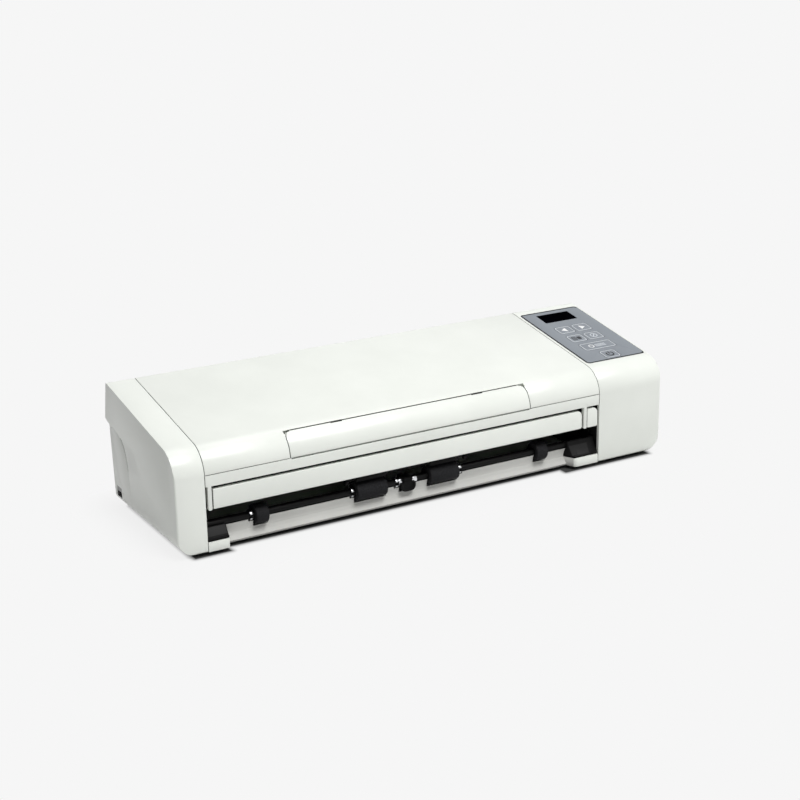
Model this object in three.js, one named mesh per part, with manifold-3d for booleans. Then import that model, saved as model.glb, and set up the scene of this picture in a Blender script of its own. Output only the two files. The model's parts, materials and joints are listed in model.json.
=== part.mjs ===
// Sheet-fed document scanner: a low housing with a sloping tray cover, a lifting upper unit,
// a row of exit rollers over a concave ramp, and a key panel on the wide right end cap.
// Millimetres. X runs along the width, Y to the back, Z up. The origin is on the table, under
// the middle of the housing. Inside the body group, y is the depth behind the front face and
// z is the height above the underside of the housing.

import * as THREE from 'three';
import { mergeVertices } from 'three/addons/utils/BufferGeometryUtils.js';
import Module from 'manifold-3d';

const wasm = await Module();
wasm.setup();

const degree = Math.PI / 180;
const facetAngle = 9 * degree;
const smallFacetAngle = 23 * degree;
const smallRadius = 3.5;
const overrun = 5;

// Clearances
const seam = 0.4;
const rest = 0.3;
const running = 0.15;

// Housing, seen from the side. Set-backs are measured from its rearmost edge.
const overallWidth = 300;
const overallDepth = 92;
const frontHeight = 51.7;
const rearHeight = 68.1;
const hood = { lean: 4.4, length: 20.5, lipRadius: 0.5, wallHeight: 6.9 };
const ledge = { setBack: 2.8, rise: 1.3 };
const underSetBack = 6;
const frontRadius = 14.5;
const edgeRadius = 1;
const undersideRadius = 2.5;

const halfWidth = overallWidth / 2;
const underDepth = overallDepth - underSetBack;
const ledgeDepth = overallDepth - ledge.setBack;
const rearTopDepth = overallDepth - hood.lean;
const hoodBottom = rearHeight - hood.length;
const ledgeHeight = hoodBottom - ledge.rise;
const hoodAngle = Math.atan2(hood.lean, hood.length);
const topSlope = Math.atan2(rearHeight - frontHeight, rearTopDepth);

// Heights on the front, as shares of the front height
const frontShares = {
	exitShaftShare: 0.2224, hookToeShare: 0.4062, legBottomShare: 0.4217, buttonBottomShare: 0.4217,
	fasciaBottomShare: 0.4236, backPlateShare: 0.4294, latchShare: 0.4333, hookBottomShare: 0.4952,
	hookTopShare: 0.5532, cheekNoseShare: 0.6093, fasciaTopShare: 0.6286, buttonTopShare: 0.6364,
	stripBottomShare: 0.6634, skinBottomShare: 0.6963, stripTopShare: 0.7756, coverLipShare: 0.7834,
};
const frontHeights = Object.fromEntries(
	Object.entries(frontShares).map(([name, share]) => [name.replace('Share', ''), share * frontHeight]));

function topHeightAt(depth) {
	return rearHeight - (rearTopDepth - depth) * Math.tan(topSlope);
}

// A height at a given distance under the sloping top.
function underTop(depth, distance) {
	return topHeightAt(depth) - distance / Math.cos(topSlope);
}

function hoodDepthAt(height) {
	return rearTopDepth + (rearHeight - height) * Math.tan(hoodAngle);
}

function rearWallDepthAt(height) {
	return underDepth + (ledgeDepth - underDepth) * height / ledgeHeight;
}

// Flat underside, leaning rear wall, ledge, hood, sloping top and round front edge
const housingCorners = [
	[0, 0, edgeRadius],
	[underDepth, 0, undersideRadius],
	[ledgeDepth, ledgeHeight],
	[overallDepth, hoodBottom, hood.lipRadius],
	[rearTopDepth, rearHeight, edgeRadius],
	[0, frontHeight, frontRadius],
];

const scanner = new THREE.Group();
scanner.name = 'document_scanner';
const body = new THREE.Group();
scanner.add(body);

// Outlines and solids

// Corners are [across, up, radius], anticlockwise. Round corners become short arcs.
function roundedPoints(corners) {
	return corners.flatMap(([across, up, radius = 0], index) => {
		const corner = new THREE.Vector2(across, up);
		if (radius <= 0) {
			return [corner];
		}
		const before = corners.at(index - 1);
		const after = corners[(index + 1) % corners.length];
		const arriving = new THREE.Vector2(across - before[0], up - before[1]).normalize();
		const leaving = new THREE.Vector2(after[0] - across, after[1] - up).normalize();
		const turn = Math.atan2(arriving.cross(leaving), arriving.dot(leaving));
		const start = corner.clone().addScaledVector(arriving, -radius * Math.tan(Math.abs(turn) / 2));
		const inward = new THREE.Vector2(-arriving.y, arriving.x).multiplyScalar(Math.sign(turn) * radius);
		const centre = start.clone().add(inward);
		const stepAngle = radius < smallRadius ? smallFacetAngle : facetAngle;
		const steps = Math.max(2, Math.ceil(Math.abs(turn) / stepAngle));
		const stepShares = Array.from({ length: steps + 1 }, (_, step) => step / steps);
		return stepShares.map((share) => start.clone().rotateAround(centre, turn * share));
	});
}

function outline(corners) {
	return new THREE.Shape(roundedPoints(corners));
}

function mirrored(corners) {
	return corners.map(([across, up, radius = 0]) => [-across, up, radius]).reverse();
}

// Moves each side of an anticlockwise outline inward. Round corners keep their centres.
function insetCorners(corners, margins) {
	const sides = corners.map(([across, up], index) => {
		const next = corners[(index + 1) % corners.length];
		const along = new THREE.Vector2(next[0] - across, next[1] - up).normalize();
		const margin = margins[index];
		const point = new THREE.Vector2(across - along.y * margin, up + along.x * margin);
		return { point, along, margin };
	});
	return corners.map(([, , radius = 0], index) => {
		const before = sides.at(index - 1);
		const after = sides[index];
		const gap = after.point.clone().sub(before.point);
		const travel = gap.cross(after.along) / before.along.cross(after.along);
		const corner = before.point.clone().addScaledVector(before.along, travel);
		return [corner.x, corner.y, Math.max(0, radius - Math.max(before.margin, after.margin))];
	});
}

function insetHousing(margin, topMargin = margin) {
	return insetCorners(housingCorners, [margin, margin, margin, margin, topMargin, margin]);
}

function solidOf(geometry) {
	geometry.deleteAttribute('normal');
	geometry.deleteAttribute('uv');
	const merged = mergeVertices(geometry);
	return new wasm.Manifold(new wasm.Mesh({
		numProp: 3,
		vertProperties: merged.attributes.position.array,
		triVerts: new Uint32Array(merged.index.array),
	}));
}

const axisX = new THREE.Vector3(1, 0, 0);
const axisY = new THREE.Vector3(0, 1, 0);
const axisZ = new THREE.Vector3(0, 0, 1);
const sideBasis = new THREE.Matrix4().makeBasis(axisY, axisZ, axisX);
const frontBasis = new THREE.Matrix4().makeBasis(axisX, axisZ, axisY.clone().negate());

function extruded(shape, length) {
	return new THREE.ExtrudeGeometry(shape, { depth: length, bevelEnabled: false });
}

// A side outline holds depth and height, and runs along the width.
function alongWidth(shape, fromX, toX) {
	const geometry = extruded(shape, toX - fromX).applyMatrix4(sideBasis);
	return solidOf(geometry.translate(fromX, 0, 0));
}

// A front outline holds width and height, and runs along the depth.
function alongDepth(shape, fromY, toY) {
	const geometry = extruded(shape, toY - fromY).applyMatrix4(frontBasis);
	return solidOf(geometry.translate(0, toY, 0));
}

// A plan outline holds width and depth, and runs upwards.
function upwards(shape, fromZ, toZ, place = new THREE.Matrix4()) {
	const geometry = extruded(shape, toZ - fromZ).translate(0, 0, fromZ);
	return solidOf(geometry.applyMatrix4(place));
}

function block(x, y, z) {
	const geometry = new THREE.BoxGeometry(x[1] - x[0], y[1] - y[0], z[1] - z[0]);
	return solidOf(geometry.translate((x[0] + x[1]) / 2, (y[0] + y[1]) / 2, (z[0] + z[1]) / 2));
}

// A round bar along the width, about a place given by its depth and height.
function bar(radius, x, place, sides = 16) {
	const geometry = new THREE.CylinderGeometry(radius, radius, x[1] - x[0], sides);
	geometry.rotateZ(Math.PI / 2);
	return solidOf(geometry.translate((x[0] + x[1]) / 2, place.depth, place.height));
}

function roundedRectangle(x, y, radius) {
	return outline([[x[0], y[0], radius], [x[1], y[0], radius], [x[1], y[1], radius], [x[0], y[1], radius]]);
}

function span(middle, width) {
	return [middle - width / 2, middle + width / 2];
}

function widened(ends, grow) {
	return [ends[0] - grow, ends[1] + grow];
}

function joined(first, ...others) {
	return others.reduce((sum, next) => sum.add(next), first);
}

function cut(solid, ...tools) {
	return tools.reduce((left, tool) => left.subtract(tool), solid);
}

// Finishes
const white = { color: 0xf1f3ee, roughness: 0.42, metalness: 0 };
const black = { color: 0x1b1c1e, roughness: 0.5, metalness: 0 };
const rubber = { color: 0x242528, roughness: 0.75, metalness: 0 };
const steel = { color: 0xc9ccd0, roughness: 0.28, metalness: 1 };
const film = { color: 0x969ba0, roughness: 0.5, metalness: 0 };
const screen = { color: 0x060607, roughness: 0.15, metalness: 0 };
const glass = { color: 0x7d8a8c, roughness: 0.08, metalness: 0 };
const gearPlastic = { color: 0xe6e3da, roughness: 0.5, metalness: 0 };
const boardGreen = { color: 0x1f6b45, roughness: 0.6, metalness: 0 };

function piece(name, solid, finish) {
	const { vertProperties, triVerts } = solid.getMesh();
	const indexed = new THREE.BufferGeometry();
	indexed.setAttribute('position', new THREE.BufferAttribute(vertProperties, 3));
	indexed.setIndex(new THREE.BufferAttribute(triVerts, 1));
	const geometry = indexed.toNonIndexed();
	geometry.computeVertexNormals();
	const mesh = new THREE.Mesh(geometry, new THREE.MeshStandardMaterial(finish));
	mesh.name = name;
	body.add(mesh);
}

// The bay between the end caps, and the middle of the sheet's way
const leftCapWidth = 15.9;
const rightCapWidth = 43.55;
const sheetShift = 2.1;
const bay = [-halfWidth + leftCapWidth, halfWidth - rightCapWidth];
const bayMiddle = (bay[0] + bay[1]) / 2;
const inBay = widened(bay, -seam);
const sheetMiddle = bayMiddle - sheetShift;

// Feet
const foot = {
	radius: 5, height: 1.8, sink: 1, leftInset: 10.1, rightInset: 18, frontDepth: 17, rearSetBack: 23,
};
const footX = [bay[0] + foot.leftInset, halfWidth - foot.rightInset];
const footDepths = [foot.frontDepth, overallDepth - foot.rearSetBack];
const footPlaces = {
	front_left_foot: [footX[0], footDepths[0]],
	rear_left_foot: [footX[0], footDepths[1]],
	front_right_foot: [footX[1], footDepths[0]],
	rear_right_foot: [footX[1], footDepths[1]],
};

function upright(radius, x, y, fromZ, toZ, sides = 20) {
	const geometry = new THREE.CylinderGeometry(radius, radius, toZ - fromZ, sides);
	geometry.rotateX(Math.PI / 2);
	return solidOf(geometry.translate(x, y, (fromZ + toZ) / 2));
}

function footPockets() {
	return Object.values(footPlaces).map(
		([x, y]) => upright(foot.radius + running, x, y, -overrun, foot.sink));
}

function makeFeet() {
	Object.entries(footPlaces).forEach(([name, [x, y]]) => {
		piece(name, upright(foot.radius, x, y, -foot.height, foot.sink), rubber);
	});
}

// Control panel in the top of the right end cap
const panel = {
	innerMargin: 1.85, outerMargin: 1, front: 14, rearSetBack: 10,
	thickness: 0.6, radius: 2, wellDepth: 2.1, gap: 0.25,
};
const display = { middleShare: 0.863, width: 22.3, length: 10.6, height: 1.2, radius: 0.4 };
const key = {
	width: 10.4, wideWidth: 21.8, length: 8.6, height: 1.2, radius: 1.6,
	spread: 12.2, firstShare: 0.091, rowShare: 0.175,
};
const keys = {
	key_left: { x: -key.spread / 2, row: 3, width: key.width },
	key_right: { x: key.spread / 2, row: 3, width: key.width },
	key_scan_type: { x: -key.spread / 2, row: 2, width: key.width },
	key_color_mode: { x: key.spread / 2, row: 2, width: key.width },
	key_start: { x: 0, row: 1, width: key.wideWidth },
	key_power: { x: 0, row: 0, width: key.width },
};
const panelX = [bay[1] + panel.innerMargin, halfWidth - panel.outerMargin];
const panelRear = overallDepth - panel.rearSetBack;
const panelLength = panelRear - panel.front;
const panelMiddle = (panel.front + panelRear) / 2;
const panelPlace = new THREE.Matrix4().makeRotationX(topSlope)
	.setPosition((panelX[0] + panelX[1]) / 2, panelMiddle, topHeightAt(panelMiddle));

// A rounded slab in the panel's own plane. Depths are measured level and laid along the slope.
function panelSlab(x, depth, width, length, radius, grow, fromZ, toZ) {
	const middle = (depth - panelMiddle) / Math.cos(topSlope);
	const shape = roundedRectangle(span(x, width + 2 * grow), span(middle, length + 2 * grow), radius + grow);
	return upwards(shape, fromZ, toZ, panelPlace);
}

function filmSlab(grow, fromZ, toZ) {
	const length = panelLength / Math.cos(topSlope);
	return panelSlab(0, panelMiddle, panelX[1] - panelX[0], length, panel.radius, grow, fromZ, toZ);
}

function displaySlab(grow, fromZ, toZ) {
	const depth = panel.front + panelLength * display.middleShare;
	return panelSlab(0, depth, display.width, display.length, display.radius, grow, fromZ, toZ);
}

function keySlab({ x, row, width }, grow, fromZ, toZ) {
	const depth = panel.front + panelLength * (key.firstShare + key.rowShare * row);
	return panelSlab(x, depth, width, key.length, key.radius, grow, fromZ, toZ);
}

function panelPockets() {
	return [
		filmSlab(panel.gap, -panel.thickness - rest, overrun),
		displaySlab(panel.gap, -display.height - rest, overrun),
		...Object.values(keys).map((place) => keySlab(place, panel.gap, -panel.wellDepth, overrun)),
	];
}

function controlPanel() {
	const holes = Object.values(keys).map((place) => keySlab(place, panel.gap, -overrun, overrun));
	const windowHole = displaySlab(panel.gap, -overrun, overrun);
	piece('control_film', cut(filmSlab(0, -panel.thickness, 0), windowHole, ...holes), film);
	piece('display_window', displaySlab(0, -display.height, 0), screen);
	Object.entries(keys).forEach(([name, place]) => {
		piece(name, keySlab(place, 0, -key.height, 0), film);
	});
}

// Sockets and board in the right end cap
const capWall = 2;
const board = { inset: 17.55, thickness: 1.6, front: 30, rearGap: 1, bottom: 4.4, height: 37.6 };
const boardX = [bay[1] + board.inset, bay[1] + board.inset + board.thickness];
const socketLip = 1;
const usb = { width: 12, height: 11, length: 12, bottom: 9, wall: 1.5, depth: 9.5 };
const power = { width: 10, height: 10, length: 12, bottom: 27, mouthRadius: 3.6, depth: 9.5 };

function socketPlace(socket) {
	const x = span(boardX[0] - rest - socket.width / 2, socket.width);
	const rear = rearWallDepthAt(socket.bottom) - socketLip;
	return { x, y: [rear - socket.length, rear], z: [socket.bottom, socket.bottom + socket.height] };
}

function socketHole(socket) {
	const { x, y, z } = socketPlace(socket);
	return block(widened(x, rest), [y[0], overallDepth], widened(z, rest));
}

function electronics() {
	piece('main_board', block(boardX, [board.front, underDepth - capWall - board.rearGap],
		[board.bottom, board.bottom + board.height]), boardGreen);
	const usbPlace = socketPlace(usb);
	const usbMouth = block(widened(usbPlace.x, -usb.wall), [usbPlace.y[1] - usb.depth, overallDepth],
		widened(usbPlace.z, -usb.wall));
	piece('usb_socket', cut(block(usbPlace.x, usbPlace.y, usbPlace.z), usbMouth), steel);
	const { x, y, z } = socketPlace(power);
	const mouth = new THREE.CylinderGeometry(power.mouthRadius, power.mouthRadius, power.depth * 2, 20);
	mouth.translate((x[0] + x[1]) / 2, y[1], (z[0] + z[1]) / 2);
	piece('power_socket', cut(block(x, y, z), solidOf(mouth)), black);
}

// End caps: hollow, open on their inner side, tapered in behind a curved crisp line
const panelWall = 3.6;
const cornerRadius = 10;
const capEdgeRadius = 1.2;
const scoop = { length: 32, cornerDrop: 6.9, radius: 12, inset: 1.1 };
const lockSlot = { setBack: 12, height: 8, length: 7, width: 3 };
const scoopFront = overallDepth - scoop.length;

function capSolid(side, innerX, wall, topWall) {
	const outerX = halfWidth - wall;
	const beyond = overallDepth + overrun;
	const frontView = [
		[innerX, wall], [outerX, wall, cornerRadius - wall], [outerX, beyond], [innerX, beyond]];
	const edge = Math.max(0, capEdgeRadius - wall);
	const planView = [[innerX, wall], [outerX, wall, edge], [outerX, beyond], [innerX, beyond]];
	const facing = (corners) => outline(side > 0 ? corners : mirrored(corners));
	const ends = side > 0 ? [innerX, outerX] : [-outerX, -innerX];
	return alongWidth(outline(insetHousing(wall, topWall)), ...ends)
		.intersect(alongDepth(facing(frontView), -overrun, beyond))
		.intersect(upwards(facing(planView), -overrun, beyond));
}

function scoopTool(side) {
	const rear = overallDepth + overrun;
	const outerX = halfWidth + overrun;
	const rearInset = scoop.inset * (rear - scoopFront) / scoop.length;
	const wedge = [
		[halfWidth, scoopFront], [outerX, scoopFront], [outerX, rear], [halfWidth - rearInset, rear]];
	const region = outline([
		[scoopFront, -overrun],
		[rear, -overrun],
		[rear, ledgeHeight],
		[ledgeDepth, ledgeHeight],
		[scoopFront, ledgeHeight - scoop.cornerDrop, scoop.radius],
	]);
	const reach = side > 0 ? [halfWidth - overrun, outerX] : [-outerX, -halfWidth + overrun];
	return alongWidth(region, ...reach)
		.intersect(upwards(outline(side > 0 ? wedge : mirrored(wedge)), -overrun, rearHeight));
}

function endCap(side, topWall) {
	const innerX = side > 0 ? bay[1] : -bay[0];
	return cut(
		capSolid(side, innerX, 0, 0),
		capSolid(side, innerX - overrun, capWall, topWall),
		scoopTool(side));
}

function endCaps() {
	const slot = alongWidth(
		roundedRectangle(span(overallDepth - lockSlot.setBack, lockSlot.length),
			span(lockSlot.height, lockSlot.width), lockSlot.width / 2 - running),
		-halfWidth - overrun, -halfWidth + overrun);
	piece('left_end_cap', cut(endCap(-1, capWall), slot), white);
	piece('right_end_cap', cut(endCap(1, panelWall), ...panelPockets(), ...footPockets(),
		socketHole(usb), socketHole(power)), white);
}

// Side plates close the end caps and carry the shafts
const plate = { thickness: 1.5, setBack: 0.5 };
const leftPlate = [bay[0] - plate.setBack - plate.thickness, bay[0] - plate.setBack];
const rightPlate = [bay[1] + plate.setBack, bay[1] + plate.setBack + plate.thickness];
const betweenPlates = [leftPlate[1] + rest, rightPlate[0] - rest];
const pivot = { setBack: 8.5, rise: 0.7, radius: 2, eyeRadius: 3.9 };
const lidPivot = { depth: overallDepth - pivot.setBack, height: ledgeHeight + pivot.rise };
const exitShaft = { depth: 8, height: frontHeights.exitShaft, radius: 2, grooveRadius: 1.5 };
const exitRoller = { radius: 5.3, wideWidth: 18, wideOffset: 22.3, narrowWidth: 7, narrowShare: 0.715 };
const narrowOffset = exitRoller.narrowShare * (bay[1] - bay[0]) / 2;

// Paper path: a plane that slopes down from under the top and touches the top of the exit rollers.
// A place on it is given by the distance along it and the height above it.
const pathRear = { setBack: 18.3, drop: 11 };
const pathRearDepth = overallDepth - pathRear.setBack;
const pathEnd = new THREE.Vector2(pathRearDepth, topHeightAt(pathRearDepth) - pathRear.drop);
const shaftCentre = new THREE.Vector2(exitShaft.depth, exitShaft.height);
const shaftToEnd = pathEnd.clone().sub(shaftCentre);
const pathSlope = shaftToEnd.angle() - Math.asin(exitRoller.radius / shaftToEnd.length());
const pathUp = new THREE.Vector2(Math.cos(pathSlope), Math.sin(pathSlope));
const pathOut = new THREE.Vector2(-pathUp.y, pathUp.x);
const pathStart = shaftCentre.clone().addScaledVector(pathOut, exitRoller.radius);
const pathLength = pathStart.distanceTo(pathEnd);

function onPath(along, above) {
	const point = pathStart.clone().addScaledVector(pathUp, along).addScaledVector(pathOut, above);
	return [point.x, point.y];
}

function pathSlab(x, along, above) {
	return alongWidth(outline([
		onPath(along[0], above[0]), onPath(along[1], above[0]),
		onPath(along[1], above[1]), onPath(along[0], above[1]),
	]), ...x);
}

const feed = { alongShare: 0.801, drop: 9.2, shaftRadius: 2.5, tyreRadius: 9, tyreWidth: 16, tyreOffset: 14 };
const feedAlong = pathLength * feed.alongShare;
const [feedDepth, feedHeight] = onPath(feedAlong, -feed.drop);
const feedShaft = { depth: feedDepth, height: feedHeight, radius: feed.shaftRadius };

// Gears, all in one plane behind the right side plate
const gearModule = 0.75;
const pressureAngle = 20 * degree;
const gearBacklash = 0.22;
const gearGap = 0.1;
const gearWidth = 3.5;
const gearStandOff = 1.2;
const gearPinRadius = 1.5;
const dedendumShare = 1.25;
const gearX = [rightPlate[1] + gearStandOff, rightPlate[1] + gearStandOff + gearWidth];
const exitTeeth = 12;
const idlerCount = 3;
const feedTeeth = 17;
const pinionTeeth = 10;
const pinionDirection = -50 * degree;

function pitchRadius(teeth) {
	return teeth * gearModule / 2;
}

function centreDistance(teethA, teethB) {
	return pitchRadius(teethA) + pitchRadius(teethB) + gearGap;
}

// Each flank follows an involute from the root through the pitch circle to the tip.
function gearOutline(gear) {
	const pitch = pitchRadius(gear.teeth);
	const base = pitch * Math.cos(pressureAngle);
	const involute = (radius) => {
		const slope = Math.sqrt(Math.max(0, (radius / base) ** 2 - 1));
		return slope - Math.atan(slope);
	};
	const halfTooth = (Math.PI * gearModule - gearBacklash) / 4 / pitch;
	const flank = [pitch - dedendumShare * gearModule, pitch, pitch + gearModule].map(
		(radius) => [radius, halfTooth + involute(pitch) - involute(radius)]);
	const points = [];
	for (let tooth = 0; tooth < gear.teeth; tooth++) {
		const middle = gear.phase + 2 * Math.PI * tooth / gear.teeth;
		const rising = flank.map(([radius, half]) => [radius, middle - half]);
		const falling = flank.map(([radius, half]) => [radius, middle + half]).reverse();
		[...rising, ...falling].forEach(([radius, angle]) => {
			points.push(new THREE.Vector2(
				gear.depth + radius * Math.cos(angle), gear.height + radius * Math.sin(angle)));
		});
	}
	return new THREE.Shape(points);
}

// A gear that meshes with the first, in a given direction from it: a gap meets a tooth.
function meshedGear(first, teeth, direction) {
	const reach = centreDistance(first.teeth, teeth);
	const slip = first.teeth / teeth * (first.phase - direction);
	return {
		teeth,
		depth: first.depth + reach * Math.cos(direction),
		height: first.height + reach * Math.sin(direction),
		phase: direction + Math.PI - slip - Math.PI / teeth,
	};
}

function directionTo(from, to) {
	return Math.atan2(to.height - from.height, to.depth - from.depth);
}

// The fewest teeth with which the like idlers still reach from shaft to shaft
const shaftReach = Math.hypot(feedShaft.depth - exitShaft.depth, feedShaft.height - exitShaft.height);
const pitchReach = shaftReach - (idlerCount + 1) * gearGap;
const idlerTeeth = Math.ceil((2 * pitchReach / gearModule - exitTeeth - feedTeeth) / (2 * idlerCount));

const exitGear = { teeth: exitTeeth, phase: 0, ...exitShaft };
const spine = directionTo(exitShaft, feedShaft);
const frontIdler = meshedGear(exitGear, idlerTeeth, spine);
const middleIdler = meshedGear(frontIdler, idlerTeeth, spine);
const lastGap = Math.hypot(feedShaft.depth - middleIdler.depth, feedShaft.height - middleIdler.height);
const idlerReach = centreDistance(idlerTeeth, idlerTeeth);
const feedReach = centreDistance(idlerTeeth, feedTeeth);
const bend = Math.acos((idlerReach ** 2 + lastGap ** 2 - feedReach ** 2) / (2 * idlerReach * lastGap));
const rearIdler = meshedGear(middleIdler, idlerTeeth, spine + bend);
const feedGear = meshedGear(rearIdler, feedTeeth, directionTo(rearIdler, feedShaft));
const pinion = meshedGear(middleIdler, pinionTeeth, pinionDirection);
const idlers = { front_idler: frontIdler, middle_idler: middleIdler, rear_idler: rearIdler };

const motor = { radius: 10, length: 12.5, shaftRadius: 1, shaftHole: 1.6, well: 4 };

function gearSolid(gear) {
	return alongWidth(gearOutline(gear), ...gearX);
}

function drive() {
	const bore = (radius, gear) => bar(radius + running, widened(gearX, overrun), gear);
	piece('exit_gear', cut(gearSolid(exitGear), bore(exitShaft.radius, exitGear)), gearPlastic);
	piece('feed_gear', cut(gearSolid(feedGear), bore(feedShaft.radius, feedShaft)), gearPlastic);
	Object.entries(idlers).forEach(([name, gear]) => {
		piece(name, cut(gearSolid(gear), bore(gearPinRadius, gear)), gearPlastic);
	});
	const face = rightPlate[0] - rest;
	const stub = bar(motor.shaftRadius, [face - motor.well + rest, gearX[1]], pinion);
	piece('motor_pinion', joined(gearSolid(pinion), stub), steel);
	const can = bar(motor.radius, [face - motor.length, face], pinion, 24);
	piece('motor', cut(can, bar(motor.shaftHole, [face - motor.well, face + overrun], pinion)), steel);
}

// Latch: a tab on the right plate, just in front of the release button's hook
const latch = { depth: 8.8, length: 2, height: 1.8, reach: 7 };

function sidePlates() {
	const shape = outline(insetHousing(capWall + rest, panelWall + rest));
	const through = widened([leftPlate[0], rightPlate[1]], overrun);
	const holes = [
		bar(exitShaft.radius + running, through, exitShaft),
		bar(feedShaft.radius + running, through, feedShaft),
		bar(pivot.radius + running, through, lidPivot),
	];
	const motorHole = bar(motor.shaftHole, widened(rightPlate, overrun), pinion);
	const pins = Object.values(idlers).map((gear) => bar(gearPinRadius, [rightPlate[0], gearX[1]], gear));
	const tab = block([rightPlate[0] - latch.reach, rightPlate[1]],
		[latch.depth, latch.depth + latch.length], [frontHeights.latch, frontHeights.latch + latch.height]);
	piece('left_side_plate', cut(alongWidth(shape, ...leftPlate), ...holes), black);
	const plain = cut(alongWidth(shape, ...rightPlate), ...holes, motorHole);
	piece('right_side_plate', joined(plain, ...pins, tab), black);
}

// Exit shaft with its rollers and clips
const clip = { width: 1.6, radius: 2.9, mouth: 2, gap: 1 };
const bearing = { width: 9, above: 2.5, below: 5.1, front: 4.3, rear: 12, radius: 2.8, footFront: 9.6 };
const bearingBottom = exitShaft.height - bearing.below;
const bearingTop = exitShaft.height + bearing.above;
const shaftX = [leftPlate[0], gearX[1]];

function clipPlaces() {
	const besides = (offset, width) => offset + width / 2 + clip.gap + clip.width / 2;
	return {
		left_clip: sheetMiddle - besides(narrowOffset, exitRoller.narrowWidth),
		left_inner_clip: sheetMiddle - besides(exitRoller.wideOffset, exitRoller.wideWidth),
		bearing_clip: sheetMiddle - besides(0, bearing.width),
		right_inner_clip: sheetMiddle + besides(exitRoller.wideOffset, exitRoller.wideWidth),
	};
}

function exitRollers() {
	const places = clipPlaces();
	const grooves = Object.values(places).map((x) => cut(
		bar(exitShaft.radius + overrun, span(x, clip.width + 2 * running), exitShaft),
		bar(exitShaft.grooveRadius, span(x, clip.width * 2), exitShaft)));
	piece('exit_shaft', cut(bar(exitShaft.radius, shaftX, exitShaft), ...grooves), black);
	Object.entries(places).forEach(([name, x]) => {
		const ring = bar(clip.radius, span(x, clip.width), exitShaft);
		const bore = bar(exitShaft.grooveRadius + running, span(x, clip.width * 2), exitShaft);
		const mouth = block(span(x, clip.width * 2), [exitShaft.depth, exitShaft.depth + overrun],
			span(exitShaft.height, clip.mouth));
		piece(name, cut(ring, bore, mouth), steel);
	});
	const rollers = {
		left_narrow_roller: [-narrowOffset, exitRoller.narrowWidth],
		left_wide_roller: [-exitRoller.wideOffset, exitRoller.wideWidth],
		right_wide_roller: [exitRoller.wideOffset, exitRoller.wideWidth],
		right_narrow_roller: [narrowOffset, exitRoller.narrowWidth],
	};
	Object.entries(rollers).forEach(([name, [offset, width]]) => {
		const x = span(sheetMiddle + offset, width);
		const bore = bar(exitShaft.radius + running, widened(x, overrun), exitShaft);
		piece(name, cut(bar(exitRoller.radius, x, exitShaft, 24), bore), rubber);
	});
}

// The centre bearing is a round-bottomed block round the shaft on a foot behind the ramp.
function centreBearing() {
	const x = span(sheetMiddle, bearing.width);
	const cradle = alongDepth(outline([
		[x[0], bearingBottom, bearing.radius], [x[1], bearingBottom, bearing.radius],
		[x[1], bearingTop], [x[0], bearingTop],
	]), bearing.front, bearing.rear);
	const post = block(x, [bearing.footFront, bearing.rear], [base.floor + rest, exitShaft.height]);
	const bore = bar(exitShaft.radius + running, widened(x, overrun), exitShaft);
	piece('centre_bearing', cut(joined(cradle, post), bore), black);
}

// Base: bottom plate, concave exit ramp, end steps and the lower rear wall
const base = {
	floor: 2, wall: 2, setBack: 1, edgeRadius: 1.2, notchWidth: 3.4, notchDrop: 5.5,
	stepHeight: 4.9, leftStep: 11.7, rightStep: 15.4, stepRear: 12, stepSlant: 6, stepRadius: 2.4,
	rampBack: 8.8,
};
const ramp = {
	lipDepth: 5.2, lipHeight: 1.1, footDepth: 5.6,
	hollowDepth: 8.2, hollowHeight: 4.6, topDepth: 5.9, topDrop: 1.4,
};
const rollerGap = 0.7;
const rampSteps = 6;
const wallTop = ledgeHeight - rest;

function rampShape() {
	const face = new THREE.QuadraticBezierCurve(
		new THREE.Vector2(ramp.topDepth, exitShaft.height - ramp.topDrop),
		new THREE.Vector2(ramp.hollowDepth, ramp.hollowHeight),
		new THREE.Vector2(ramp.lipDepth, ramp.lipHeight)).getPoints(rampSteps);
	return new THREE.Shape([
		...face,
		new THREE.Vector2(ramp.footDepth, 0),
		new THREE.Vector2(base.rampBack, 0),
		new THREE.Vector2(base.rampBack, exitShaft.height - exitRoller.radius),
		new THREE.Vector2(exitShaft.depth, exitShaft.height - exitShaft.radius - seam),
	]);
}

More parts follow.
